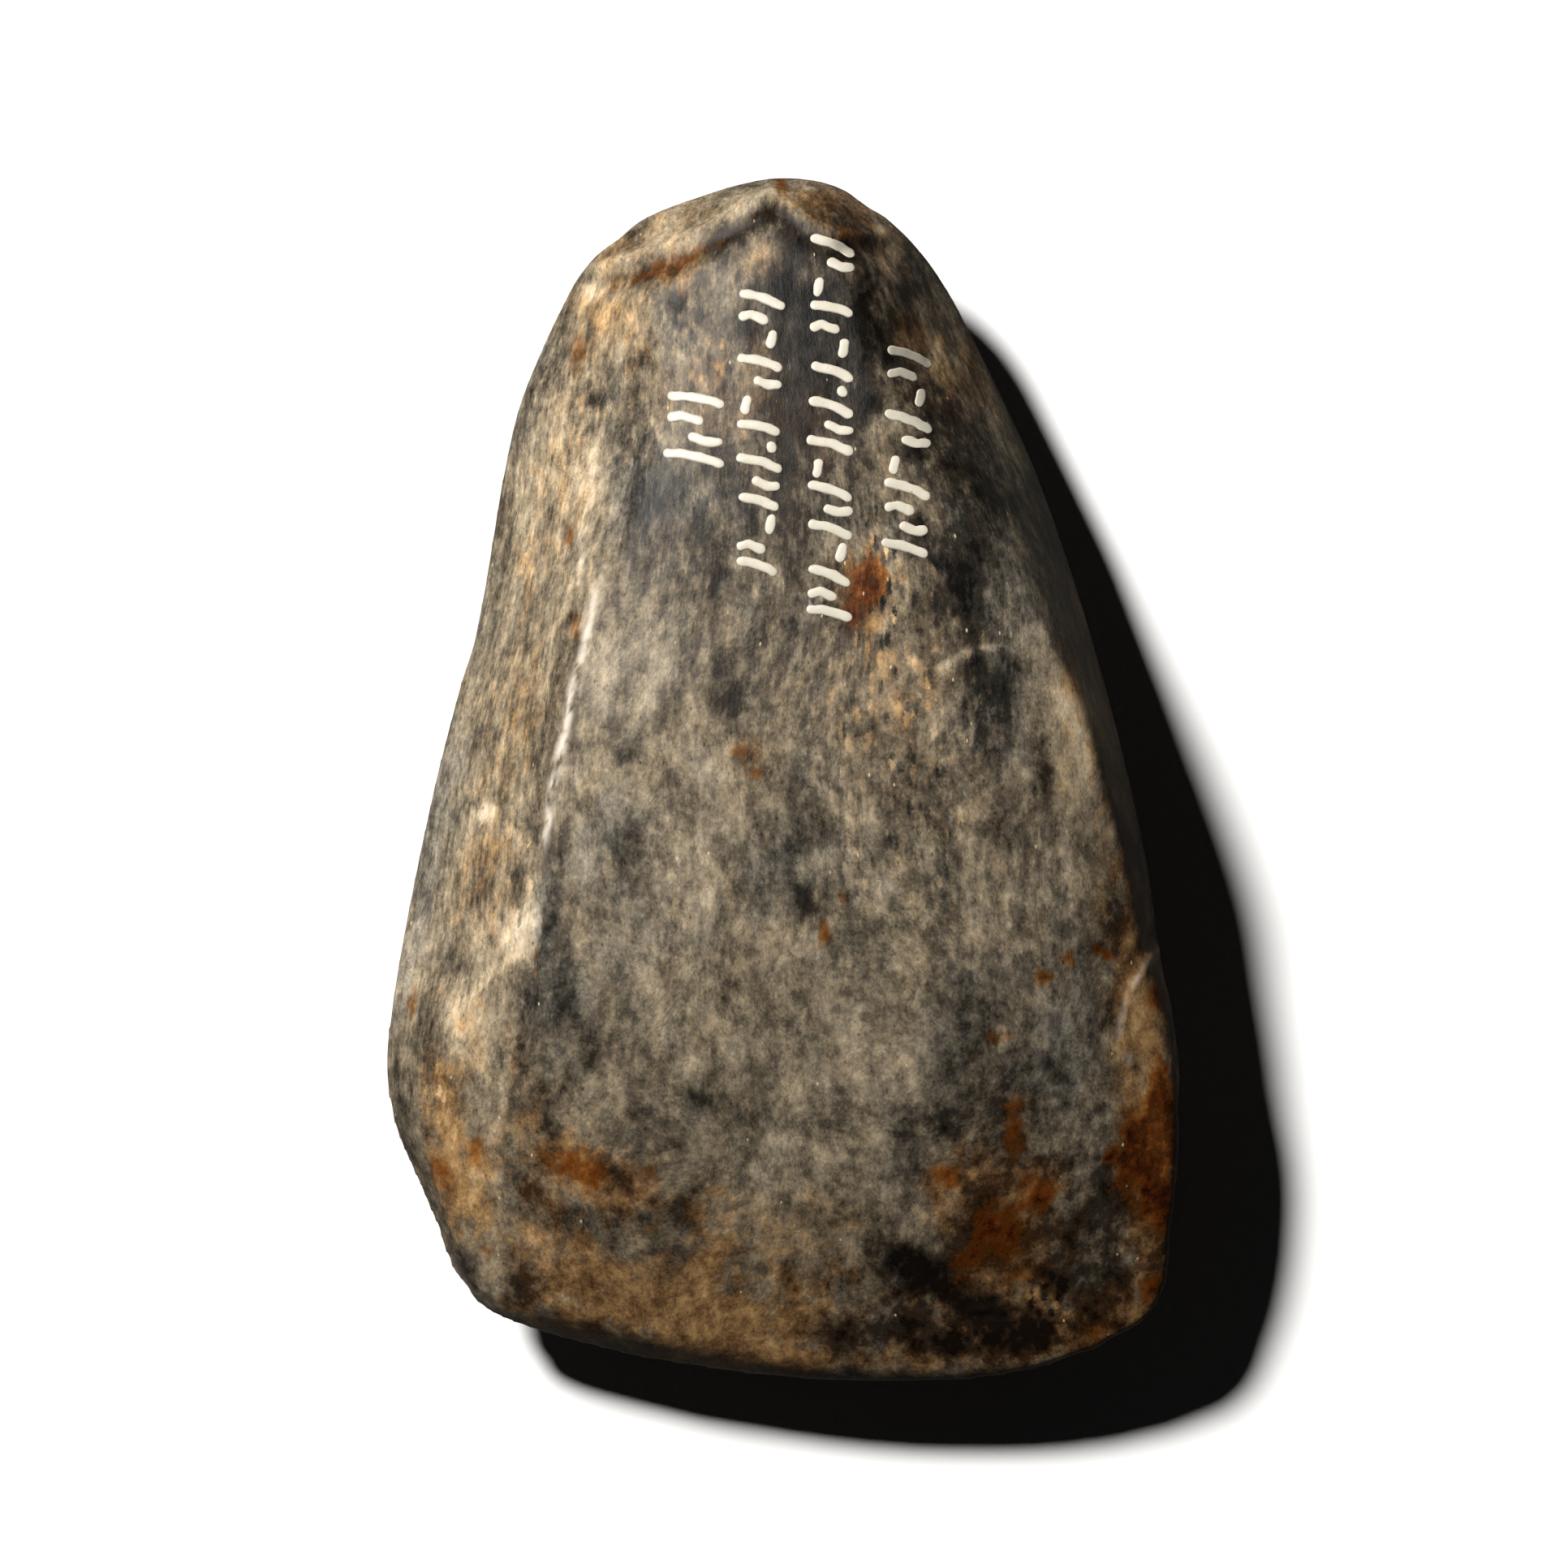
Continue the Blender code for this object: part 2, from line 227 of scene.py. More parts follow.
# Broken steps: the line, how far the low side takes to rise again, and the step's depth
STEP_RELIEF = ((FLAKE_STEP, 1.6, 0.30), (THIN_CRACK, 2.4, 0.16))
WAVE_HEIGHT = 0.045
STREAK_HEIGHT = 0.045
GRAIN_HEIGHT = 0.012
SCAR_DEPTH = 0.16
SCAR_ROUGHNESS = 0.30
PECK_DEPTH = 0.12
PECK_ROUGHNESS = 0.14
BUTT_ROUGHNESS = 0.09
HACKLY_ROUGHNESS = 0.26
HOLLOW_ROUGHNESS = 0.10
# The ridge between the flank and the face passes this place, leans by this share and ends at this height
FLANK_X = -13.2
FLANK_Y = 14.0
FLANK_LEAN = 0.09
FLANK_BLEND = 2.5
FLANK_END_Y = -22.0
# Streaks show a little on the face, fully on the flank, and more again from this height up to the butt
FACE_STREAKS = 0.15
FLANK_STREAKS = 0.80
UPPER_STREAKS = 0.50
UPPER_START_Y = 2.0
UPPER_BLEND = 12.0
BUTT_START_Y = 35.5
BUTT_BLEND = 4.0
BELOW_RIDGE_SHARE = 0.35
# The relief fades out at the rim, which stays the solid's own outline, and at the resting flat
RIM_Z = 9.5
RIM_BAND = 0.4
RIM_BLEND = 3.0
RIM_SHARE = 0.15
FLAT_BLEND = 0.5

on_flank = np.clip((FLANK_X - X - FLANK_LEAN * (FLANK_Y - Y)) / FLANK_BLEND, 0, 1) * (Y > FLANK_END_Y)
upper = np.clip((Y - UPPER_START_Y) / UPPER_BLEND, 0, 1)
streaky = np.clip(FACE_STREAKS + FLANK_STREAKS * on_flank + UPPER_STREAKS * upper, 0, 1)
scar_floor = oval(-18.3, -10.3, 2.4, 3.4, 18) + oval(-17.4, -4.2, 1.9, 3.2, 8)
peck_marks = oval(-23.6, -21.9, 2.4, 4.4, -12)
hackly = oval(15.5, -37.0, 7.5, 3.2, 8)
above_ridge = BELOW_RIDGE_SHARE + (1 - BELOW_RIDGE_SHARE) * (line_gap(BUTT_RIDGE) > 0)
butt = np.clip((Y - BUTT_START_Y) / BUTT_BLEND, 0, 1) * above_ridge

height = WAVE_HEIGHT * rough(9.0, stretch=2.0, octaves=3, seed=1.0)
height += STREAK_HEIGHT * rough(1.3, stretch=6.0, octaves=4, seed=2.0) * streaky
height += GRAIN_HEIGHT * rough(0.8, stretch=1.5, octaves=3, seed=4.0)
height -= scar_floor * (SCAR_DEPTH + SCAR_ROUGHNESS * rough(0.9, octaves=3, seed=5.0))
height -= peck_marks * (PECK_DEPTH + PECK_ROUGHNESS * rough(0.7, octaves=3, seed=6.0))
height += butt * BUTT_ROUGHNESS * rough(2.2, stretch=0.8, octaves=4, seed=7.0)
height += hackly * HACKLY_ROUGHNESS * rough(1.3, stretch=0.6, octaves=4, seed=8.0, sharp=0.3)
height += oval(11.3, 29.3, 2.2, 2.6) * HOLLOW_ROUGHNESS * rough(0.8, stretch=1.2, octaves=3, seed=11.0)
for line, reach, lift in LINE_RELIEF:
    height += lift * groove(line, reach)
for line, run, depth in STEP_RELIEF:
    height -= depth * ledge(line, run)
for x, y, reach, depth in PITS:
    height -= depth * oval(x, y, reach * PIT_WIDTH, reach * PIT_LENGTH)
off_rim = np.clip((np.abs(Z - RIM_Z) - RIM_BAND) / RIM_BLEND, RIM_SHARE, 1)
off_flat = np.clip(Z / FLAT_BLEND, 0, 1)
carved = points_of(rock) + (height * off_rim * off_flat)[:, None] * FACING * MM
carved[:, 2] = np.clip(carved[:, 2], cad_box[0][2], cad_box[1][2])
put_points(rock, carved)

# Clouds and stains as x, y, half width, half length, clockwise turn and strength
PALE_CLOUDS = (
    (-9.6, 7.6, 4.8, 5.6, 0, 0.15), (-12.3, 0.1, 2.4, 2.6, 0, 0.12), (-6.1, 1.3, 2.1, 2.8, 0, 0.12),
    (-13.9, 20.5, 1.9, 7.2, 5, 0.26), (-1.5, 35.9, 2.2, 1.7, 0, 0.28), (-13.5, -12.7, 1.1, 3.0, 0, 0.16),
    (-0.8, -15.7, 7.0, 6.0, 0, 0.07), (5.5, -19.6, 4.0, 2.2, 0, 0.07), (9.6, -30.4, 1.2, 2.0, 20, 0.12),
    (17.2, 10.0, 1.6, 2.4, 0, 0.16), (20.1, 4.4, 1.8, 3.0, -10, 0.20), (20.5, -0.6, 1.6, 2.6, 0, 0.16),
    (24.7, -18.5, 2.4, 4.4, 0, 0.20), (-22.1, -17.4, 1.8, 3.6, -12, 0.24),
    (-18.1, -10.9, 1.4, 2.0, 20, 0.46),
    (-20.5, -2.1, 0.7, 0.9, 0, 0.36), (13.2, -10.6, 0.8, 2.2, 0, 0.16), (-8.0, 38.6, 5.0, 2.2, 62, 0.10),
    (11.1, 29.7, 1.4, 1.8, 0, 0.28), (8.6, 30.1, 1.6, 1.0, 0, 0.12), (9.4, 4.7, 2.8, 4.4, 0, 0.08),
    (-11.6, 33.0, 3.0, 3.8, 0, 0.10), (-13.4, 34.2, 0.8, 0.8, 0, 0.30), (-21.5, 2.0, 3.0, 18.0, 12, 0.05),
    (-5.4, -35.0, 7.0, 3.6, 80, 0.06), (-17.6, 12.0, 3.6, 22.0, 13, 0.11),
    (-20.5, -10.0, 3.2, 12.0, 6, 0.06),
    (0.0, -9.0, 13.0, 14.0, 0, 0.07), (-0.5, -30.0, 3.0, 6.0, 0, 0.15), (-21.2, -31.5, 2.0, 4.0, -20, 0.14),
    (17.0, -5.0, 4.5, 6.0, 0, 0.10), (16.5, 13.0, 2.0, 4.5, -14, 0.12), (7.8, 13.5, 1.5, 4.5, 0, 0.14),
    (20.8, 4.0, 1.9, 6.0, -12, 0.10), (4.5, -21.0, 5.0, 5.0, 0, 0.06), (-12.0, 34.6, 2.0, 2.4, -30, 0.10),
    (7.8, -28.6, 2.0, 3.6, 0, 0.12), (-26.2, -12.0, 1.6, 13.0, 8, 0.12), (-14.2, -3.0, 1.4, 2.4, 0, 0.12),
    (-7.0, -5.5, 3.4, 5.4, 0, 0.10), (17.5, -6.0, 4.0, 4.0, 0, 0.08), (23.4, -13.0, 1.6, 3.4, 0, 0.16),
    (-10.8, 18.5, 2.4, 6.4, 0, 0.11), (6.6, 36.2, 1.8, 1.6, 0, 0.14), (0.0, 41.0, 4.0, 1.4, 0, 0.12),
    (-14.8, 29.6, 1.6, 4.4, 22, 0.10), (-21.8, -26.5, 2.2, 5.0, -14, 0.10), (26.0, -25.0, 1.4, 2.6, 0, 0.14),
    (-12.8, 14.5, 2.0, 5.0, 0, 0.12), (-19.2, -19.0, 2.0, 3.4, 0, 0.12), (-12.5, -23.6, 3.0, 1.6, 0, 0.10),
    (-6.5, -22.5, 2.0, 1.6, 0, 0.08), (0.2, -6.0, 2.2, 1.6, 0, 0.16), (2.2, 0.4, 1.6, 1.6, 0, 0.10),
    (19.0, -10.0, 1.6, 2.4, 0, 0.12), (25.6, -11.2, 1.0, 1.6, 0, 0.16), (14.0, -35.0, 1.6, 1.4, 0, 0.16),
    (-0.4, 40.2, 1.8, 1.0, 0, 0.12), (8.4, 36.0, 1.6, 1.6, 0, 0.08), (-24.0, -21.6, 1.8, 4.0, -12, 0.14),
    (-19.5, -6.0, 2.4, 5.0, 6, 0.04), (-24.6, -9.0, 1.6, 8.0, 10, 0.08), (20.0, 4.0, 1.8, 5.0, -12, 0.10),
    (6.8, 37.4, 2.4, 1.4, 0, 0.08), (-12.0, -2.0, 3.0, 4.0, 0, 0.06), (-21.6, -21.6, 1.4, 1.4, 0, 0.12),
    (20.6, -34.2, 2.0, 1.4, 0, 0.10), (2.9, 16.0, 0.9, 1.2, 0, 0.16), (12.8, -17.0, 1.0, 2.0, 0, 0.12),
    (13.0, -22.6, 1.4, 1.4, 0, 0.12), (-4.4, -13.6, 2.4, 1.8, 0, 0.08), (-15.4, 11.0, 1.2, 6.0, 4, 0.10),
    (-15.0, -15.0, 1.4, 2.4, 0, 0.08), (-6.8, -1.0, 1.2, 1.2, 0, 0.10), (4.6, -27.0, 2.4, 4.0, 0, 0.06),
    (-17.4, -9.4, 1.2, 2.2, 10, 0.24), (-19.6, -15.6, 1.4, 2.6, 10, 0.10),
    (-10.5, 10.0, 3.4, 5.0, 0, 0.08), (-15.6, 10.5, 1.4, 7.0, 4, 0.06), (-10.0, -15.0, 4.0, 5.0, 0, 0.06),
    (-3.0, -6.0, 5.0, 6.0, 0, 0.04), (25.4, -11.6, 1.0, 1.4, 0, 0.14), (9.0, 12.6, 2.0, 1.6, 0, 0.08),
)
# In the dark clouds, the long thin patches along the right rim, at x from 22 to 26.2, darken it partly as
# painted shade on the side turned from the lamp and partly as the rock's own dark colour
DARK_CLOUDS = (
    (-1.2, 39.3, 1.9, 1.0, -30, 0.10), (0.4, 37.7, 1.1, 2.4, 0, 0.20), (2.9, 32.5, 3.6, 5.4, 0, 0.20),
    (5.4, 33.7, 1.8, 2.8, 0, 0.20), (13.1, 19.4, 3.6, 11.5, -15, 0.22), (9.1, 36.4, 3.4, 3.2, 0, 0.20),
    (4.3, 23.9, 2.6, 6.8, 0, 0.18), (-7.9, 19.9, 4.2, 3.6, 0, 0.16), (-7.3, 33.1, 0.7, 0.9, 0, 0.26),
    (-10.0, 28.8, 1.0, 0.8, 0, 0.24), (-13.1, 26.2, 0.9, 0.8, 0, 0.24), (-3.7, 5.3, 1.5, 3.6, -10, 0.26),
    (-10.6, -4.2, 2.2, 2.1, 40, 0.20), (-0.2, -5.6, 3.3, 3.8, 0, 0.17), (14.0, 5.9, 1.8, 3.4, -8, 0.22),
    (17.7, -0.8, 0.8, 3.6, 0, 0.20), (12.3, -16.6, 1.5, 4.0, 0, 0.13), (-4.4, -22.3, 1.1, 5.4, 107, 0.20),
    (-11.5, -27.1, 0.7, 2.1, 132, 0.22), (-7.1, -30.0, 0.9, 1.8, 130, 0.28),
    (-17.7, -27.9, 1.0, 2.5, 125, 0.20),
    (9.6, -33.7, 3.1, 1.7, 10, 0.40), (13.7, -36.5, 1.5, 4.8, 110, 0.34), (4.2, -39.1, 2.8, 2.1, 0, 0.22),
    (20.7, -32.9, 3.2, 5.4, 0, 0.18), (17.7, -38.8, 4.8, 1.3, -8, 0.30), (-17.9, -35.1, 2.0, 1.6, 0, 0.22),
    (-22.0, -34.5, 1.2, 2.0, -20, 0.20), (-12.6, -38.3, 2.4, 0.9, 25, 0.14),
    (0.6, -33.8, 1.0, 2.4, 10, 0.14),
    (-15.3, -15.3, 1.9, 1.7, 0, 0.12), (-18.9, -17.0, 1.8, 4.2, 8, 0.12), (23.2, -9.7, 1.6, 3.8, -6, 0.20),
    (6.4, -10.5, 1.2, 3.0, 0, 0.10), (11.0, -23.6, 2.6, 1.6, 0, 0.12), (-26.4, -22.0, 0.8, 4.0, -8, 0.16),
    (0.5, 35.0, 4.2, 6.5, 0, 0.20), (7.6, 31.0, 2.6, 4.6, 0, 0.26), (0.4, 25.0, 2.2, 8.0, 0, 0.16),
    (-6.0, 16.5, 2.6, 8.0, 0, 0.12), (12.2, 12.0, 1.7, 4.6, 0, 0.20), (13.6, 2.4, 1.2, 2.2, 0, 0.16),
    (9.6, 23.0, 2.2, 3.0, 0, 0.16), (-10.8, 2.0, 2.4, 2.0, 0, 0.12), (1.8, -8.4, 1.0, 1.4, 0, 0.22),
    (15.5, -20.6, 3.6, 3.4, 0, 0.14), (14.0, -33.5, 9.5, 7.0, 0, 0.17), (23.5, -29.0, 4.0, 9.0, 0, 0.16),
    (-17.0, -23.0, 2.0, 4.6, 0, 0.13), (-11.8, -18.6, 2.4, 1.8, 0, 0.12), (-14.0, -30.8, 3.6, 1.6, 0, 0.10),
    (23.2, -18.0, 2.0, 4.0, 0, 0.10), (-3.5, 37.0, 1.6, 2.0, 40, 0.14), (1.0, 26.0, 7.0, 14.0, 0, 0.11),
    (5.6, 27.0, 1.8, 6.0, 0, 0.14), (15.5, -25.0, 6.0, 7.0, 0, 0.10), (12.5, -38.6, 8.5, 2.4, 0, 0.18),
    (2.0, -3.0, 5.0, 6.0, 0, 0.08), (9.5, 17.6, 1.3, 2.2, 0, 0.16), (-10.0, 25.0, 1.8, 2.6, 0, 0.08),
    (0.6, 17.5, 1.4, 3.6, 0, 0.12), (-17.5, -26.5, 1.8, 2.0, 0, 0.08), (5.0, 36.8, 1.4, 1.8, 0, 0.20),
    (0.5, 34.0, 3.0, 4.0, 0, 0.12), (5.2, 30.8, 1.4, 3.0, 0, 0.14), (5.4, 25.6, 1.4, 1.4, 0, 0.12),
    (9.5, 17.2, 1.2, 1.6, 0, 0.18), (10.5, 21.5, 2.4, 1.6, 0, 0.10), (5.2, 11.8, 1.2, 2.2, 0, 0.12),
    (-4.8, 9.4, 1.4, 2.4, 0, 0.10), (15.6, -16.2, 2.2, 1.6, 0, 0.12), (18.5, -24.0, 2.6, 4.0, 0, 0.10),
    (12.0, -31.5, 2.0, 1.6, 0, 0.14), (22.5, -29.5, 3.0, 2.6, 0, 0.10), (3.4, -34.2, 1.4, 1.6, 0, 0.12),
    (12.0, -39.4, 2.0, 1.0, 0, 0.16), (4.0, -38.6, 1.6, 1.0, 0, 0.10), (-18.6, -33.0, 1.6, 1.6, 0, 0.10),
    (22.0, 12.0, 1.8, 11.0, -14, 0.14), (25.6, -6.0, 1.6, 9.0, -8, 0.14), (15.0, -38.6, 8.0, 2.0, 4, 0.12),
    (22.0, -36.0, 3.0, 4.0, 30, 0.12), (26.0, -32.0, 1.6, 6.0, 0, 0.10), (-20.2, -6.0, 1.4, 4.6, 6, 0.12),
    (4.6, 24.2, 1.6, 1.4, 0, 0.14), (7.6, 22.8, 2.4, 1.4, 0, 0.22), (11.4, 20.4, 1.2, 2.0, 0, 0.14),
    (9.6, 17.0, 1.0, 1.4, 0, 0.16), (1.0, 16.6, 1.2, 2.6, 0, 0.14), (5.6, 11.2, 1.0, 1.6, 0, 0.12),
    (18.4, -31.0, 2.0, 4.0, 0, 0.12), (18.6, -37.4, 2.0, 1.4, 0, 0.14), (-2.6, 0.0, 1.4, 2.6, 0, 0.10),
    (7.6, -3.6, 3.2, 1.6, 0, 0.10), (2.6, -8.0, 1.4, 2.4, 0, 0.10), (-19.0, -32.8, 1.6, 1.4, 0, 0.12),
    (23.4, -29.6, 2.0, 2.4, 0, 0.10), (15.4, -15.6, 2.4, 1.4, 0, 0.08), (0.0, 32.0, 2.0, 4.0, 0, 0.10),
    (20.4, 8.0, 1.2, 2.4, -10, 0.12), (21.6, 3.0, 1.2, 3.0, -10, 0.12), (3.8, 4.8, 1.4, 2.0, 0, 0.10),
    (26.2, -4.0, 1.4, 9.0, -8, 0.12), (4.4, 36.6, 1.4, 1.2, -30, 0.14), (-8.0, 26.6, 2.0, 2.0, 0, 0.06),
    (-23.8, -19.4, 1.4, 2.0, 0, 0.08), (8.0, -37.8, 3.0, 1.2, 0, 0.10), (24.6, -19.6, 1.4, 2.0, 0, 0.06),
)
# Brown earth in the pores against clean rock, and below it the rock's own cold grey
BROWN_EARTH = (
    (-9.0, 37.6, 7.8, 3.8, -28, 0.35), (3.4, 39.8, 4.2, 2.2, 0, 0.80), (6.5, 36.5, 4.0, 3.0, 0, 0.45),
    (-12.0, 32.5, 3.6, 4.8, 0, 0.45), (-15.2, 22.0, 3.2, 11.5, 6, 0.38), (-18.2, 4.0, 3.5, 12.5, 13, 0.40),
    (-20.4, -8.5, 3.3, 5.6, 10, 0.36), (-22.1, -17.4, 2.5, 4.2, -12, 0.46),
    (-23.4, -22.3, 2.4, 4.0, -10, 0.80),
    (-22.6, -28.0, 2.6, 4.4, -18, 0.90), (-12.4, -27.3, 2.9, 7.2, 102, 0.90),
    (-7.2, -36.0, 4.6, 9.4, 95, 0.80),
    (-17.0, -33.0, 4.2, 4.2, 0, 0.60), (24.0, -12.5, 2.7, 9.4, -6, 0.70), (15.6, -27.7, 4.2, 6.2, 0, 0.45),
    (25.2, -29.7, 2.8, 9.4, 0, 0.90), (17.7, -38.0, 8.4, 3.2, 0, 0.75), (12.0, 28.0, 4.6, 5.2, 0, 0.60),
    (-5.0, 27.0, 5.0, 5.2, 0, 0.35), (20.0, 3.0, 2.2, 6.4, -6, 0.35), (-2.3, 1.9, 1.8, 1.5, 0, 0.60),
    (8.0, 6.0, 5.6, 8.4, 0, 0.35), (2.6, 24.0, 1.0, 6.0, 0, 0.40), (-1.5, 35.9, 2.2, 1.8, 0, 0.45),
    (1.5, -31.0, 6.0, 4.0, 0, 0.45), (3.0, -38.6, 24.0, 4.4, 0, 0.50), (25.4, -18.0, 2.6, 13.0, 0, 0.50),
    (14.6, -31.5, 6.0, 5.4, 0, 0.75), (11.3, -27.2, 2.0, 2.0, 0, 0.70), (5.8, 13.2, 2.4, 3.4, 0, 0.80),
    (-17.5, -24.5, 4.0, 4.4, 0, 0.40), (0.0, 25.0, 3.0, 9.0, 0, 0.25), (20.5, 12.0, 2.6, 10.0, -12, 0.35),
    (22.0, -38.0, 5.0, 3.0, 0, 0.60), (25.2, -5.0, 1.8, 9.0, -8, 0.60), (25.0, -25.0, 2.0, 4.0, 0, 0.40),
    (-7.0, 34.5, 3.6, 2.0, -30, 0.50), (3.8, 37.4, 2.4, 1.6, 0, 0.50), (8.0, 31.0, 2.0, 2.0, 0, 0.50),
    (-5.0, -33.0, 6.0, 2.6, 95, 0.60), (-16.0, -32.0, 5.0, 2.4, 20, 0.10),
    (-14.0, -37.6, 4.0, 1.6, -70, 0.60),
    (16.4, -24.0, 1.6, 1.4, 0, 0.50), (20.5, -31.0, 2.4, 3.0, 0, 0.50), (14.4, -35.0, 2.0, 2.0, 0, 0.50),
    (-18.5, -18.0, 2.0, 4.0, 0, 0.20), (24.4, -16.0, 1.6, 2.0, 0, 0.40), (1.4, 25.6, 1.4, 3.0, 0, 0.40),
    (23.5, 2.0, 2.5, 16.0, -12, 0.50), (26.4, -11.0, 1.8, 6.0, -6, 0.80), (24.4, -21.8, 1.4, 1.4, 0, 0.60),
    (-6.4, 17.0, 3.0, 3.0, 0, 0.30), (4.6, 13.0, 2.0, 3.0, 0, 0.40), (26.0, -32.0, 2.0, 4.0, 0, 0.40),
    (19.6, -27.6, 2.0, 2.4, 0, 0.30), (2.0, -40.4, 16.0, 1.0, 0, 0.50), (10.2, -27.4, 1.4, 1.4, 0, 0.50),
)
COLD_GREY = (
    (-7.9, 19.9, 4.4, 4.0, 0, 0.60), (-16.3, -10.0, 1.3, 4.2, 0, 0.60), (-15.3, -14.3, 2.2, 3.4, 0, 0.50),
    (-24.6, -6.0, 1.5, 14.0, 12, 0.55), (14.4, 5.0, 2.4, 4.0, 0, 0.45), (18.0, -20.0, 4.0, 6.5, 0, 0.45),
    (-9.6, 8.0, 4.6, 5.0, 0, 0.20), (-12.4, -3.5, 3.0, 3.0, 0, 0.45), (0.0, -6.0, 4.0, 4.0, 0, 0.35),
    (4.6, 28.0, 3.0, 8.0, 0, 0.20), (15.0, 14.0, 3.0, 6.0, -15, 0.30), (12.0, -17.0, 2.0, 5.0, 0, 0.35),
    (-10.0, -10.0, 5.0, 6.0, 0, 0.25), (-12.8, 34.2, 1.6, 1.8, 0, 0.40), (-16.5, 28.0, 1.6, 5.0, 18, 0.30),
    (8.6, 8.4, 1.6, 1.6, 0, 0.30), (7.0, 16.4, 1.4, 1.6, 0, 0.40), (13.0, -28.6, 1.4, 1.4, 0, 0.30),
)
RUST_SPOTS = (
    (5.8, 13.5, 1.5, 2.1, 0, 1.00), (4.7, 11.4, 0.7, 1.5, 0, 0.85), (14.6, -31.2, 2.2, 2.6, 40, 0.90),
    (17.8, -28.6, 2.0, 1.6, 40, 0.80), (12.6, -33.6, 1.4, 1.6, 0, 0.60), (24.4, -27.0, 2.4, 3.0, 0, 0.70),
    (26.4, -26.0, 1.4, 7.0, 0, 0.60), (16.4, -34.0, 1.6, 2.0, 0, 0.40),
    (11.4, -27.2, 1.2, 1.1, 0, 0.95), (16.1, -22.5, 1.2, 1.6, 0, 0.80), (15.9, -25.0, 0.9, 1.8, 0, 0.50),
    (25.7, -23.5, 1.9, 2.9, 0, 0.95), (24.7, -26.1, 2.6, 1.1, 0, 0.90), (25.9, -29.5, 1.7, 2.3, 0, 0.75),
    (25.6, -35.3, 1.0, 1.4, 0, 0.85), (21.9, -38.8, 1.7, 1.4, 0, 0.70), (21.7, -11.6, 0.5, 0.6, 0, 0.90),
    (22.4, -11.8, 0.6, 0.6, 0, 0.90), (17.9, -13.4, 0.7, 0.7, 0, 0.95), (25.9, -14.8, 1.0, 1.0, 0, 0.80),
    (2.9, -10.6, 0.5, 1.0, 0, 0.75), (-2.9, 2.0, 0.7, 0.7, 0, 0.80), (-1.9, 0.6, 0.7, 0.7, 0, 0.70),
    (4.1, -7.9, 0.5, 0.5, 0, 0.70), (19.6, -12.2, 0.6, 0.7, 0, 0.75), (14.8, -17.5, 1.3, 0.7, 0, 0.50),
    (-14.0, 29.7, 0.9, 1.8, 10, 0.60), (-14.6, 17.0, 0.6, 1.4, 0, 0.60), (-14.2, 10.5, 0.5, 1.6, 0, 0.50),
    (-8.1, 35.4, 0.8, 3.8, 68, 0.30), (-8.8, 36.0, 0.6, 0.6, 0, 0.50), (-0.1, 41.2, 0.5, 1.5, 0, 0.70),
    (4.1, 37.7, 0.8, 0.7, 0, 0.70), (-13.2, -27.0, 1.9, 1.5, 0, 0.60), (-9.2, -26.8, 0.9, 1.0, 0, 0.50),
    (-9.0, -31.0, 0.7, 0.7, 0, 0.50), (-20.6, -32.6, 0.7, 1.0, 0, 0.50), (-21.1, -25.3, 0.7, 1.5, 0, 0.65),
    (-23.6, -27.0, 1.0, 2.4, -15, 0.45), (-25.7, -15.8, 0.5, 2.0, 8, 0.50),
    (-22.0, -16.9, 0.6, 0.6, 0, 0.50),
    (-15.8, -26.2, 2.6, 1.2, 0, 0.35), (3.0, 24.5, 0.5, 3.0, 0, 0.35), (26.2, -20.5, 0.8, 1.6, 0, 0.60),
)
# Where the felted flecks stand out and where painted glints come often; the patches stronger than 1 mark
# where painted glints crowd
FLECK_AND_GLINT_AREAS = (
    (8.5, 6.0, 8.0, 12.0, 0, 0.80), (-15.0, 22.0, 4.0, 12.0, 5, 0.50), (-6.0, 27.0, 7.0, 8.0, 0, 0.50),
    (-19.0, 0.0, 4.5, 14.0, 12, 0.45), (7.0, 15.0, 3.0, 6.0, 0, 0.60), (12.0, -8.0, 8.0, 7.0, 0, 0.45),
    (15.5, -37.0, 7.0, 2.6, 8, 0.70), (-6.0, 16.0, 6.0, 7.0, 0, 0.35), (12.0, 27.0, 5.0, 6.0, 0, 0.40),
    (6.9, 13.4, 1.5, 6.0, 0, 2.20), (18.5, -36.5, 1.4, 1.8, 30, 2.00), (13.0, -38.6, 2.0, 1.0, 0, 1.60),
    (-18.4, -9.6, 1.4, 2.4, 20, 1.60), (-23.3, -22.0, 1.4, 3.0, -10, 1.20),
)
# A patch fades well inside its rim, so its reach is drawn out by this much
PATCH_SPREAD = 1.35


def field(patches):
    """The patches of a table added up over the stone."""
    total = np.zeros(len(X))
    for x, y, reach_x, reach_y, turn, amount in patches:
        total += amount * oval(x, y, reach_x * PATCH_SPREAD, reach_y * PATCH_SPREAD, turn)
    return total


def put_field(name, values):
    rock.attributes.new(name, "FLOAT", "POINT").data.foreach_set("value", values.astype(np.float32))


# Lines that are lighter, or darker with a minus sign: the line, how far its shade reaches, and how much. On
# the butt the lighter crests are painted highlight and the darker lines just under them painted shade
LINE_SHADES = (
    (DEEP_SCRATCH, 0.35, 0.30), (BUTT_RIDGE, 0.60, 0.20), (BUTT_RIGHT_RIDGE, 0.50, 0.14),
    (UNDER_BUTT_RIDGE, 0.70, -0.14), (UNDER_RIGHT_RIDGE, 0.80, -0.10), (RIGHT_SCAR_GROOVE, 0.40, -0.16),
    (BESIDE_CHIP_RIDGE, 0.60, -0.22),
)
STEP_SHADES = (
    (FLAKE_STEP, 1.8, 0.06), (THIN_CRACK, 2.6, 0.12), (FLAKE_STEP[::-1], 0.8, -0.04),
    (THIN_CRACK[::-1], 0.8, -0.06),
)
SCRATCH_REACH = 0.22
SCRATCH_GLINT = 0.16
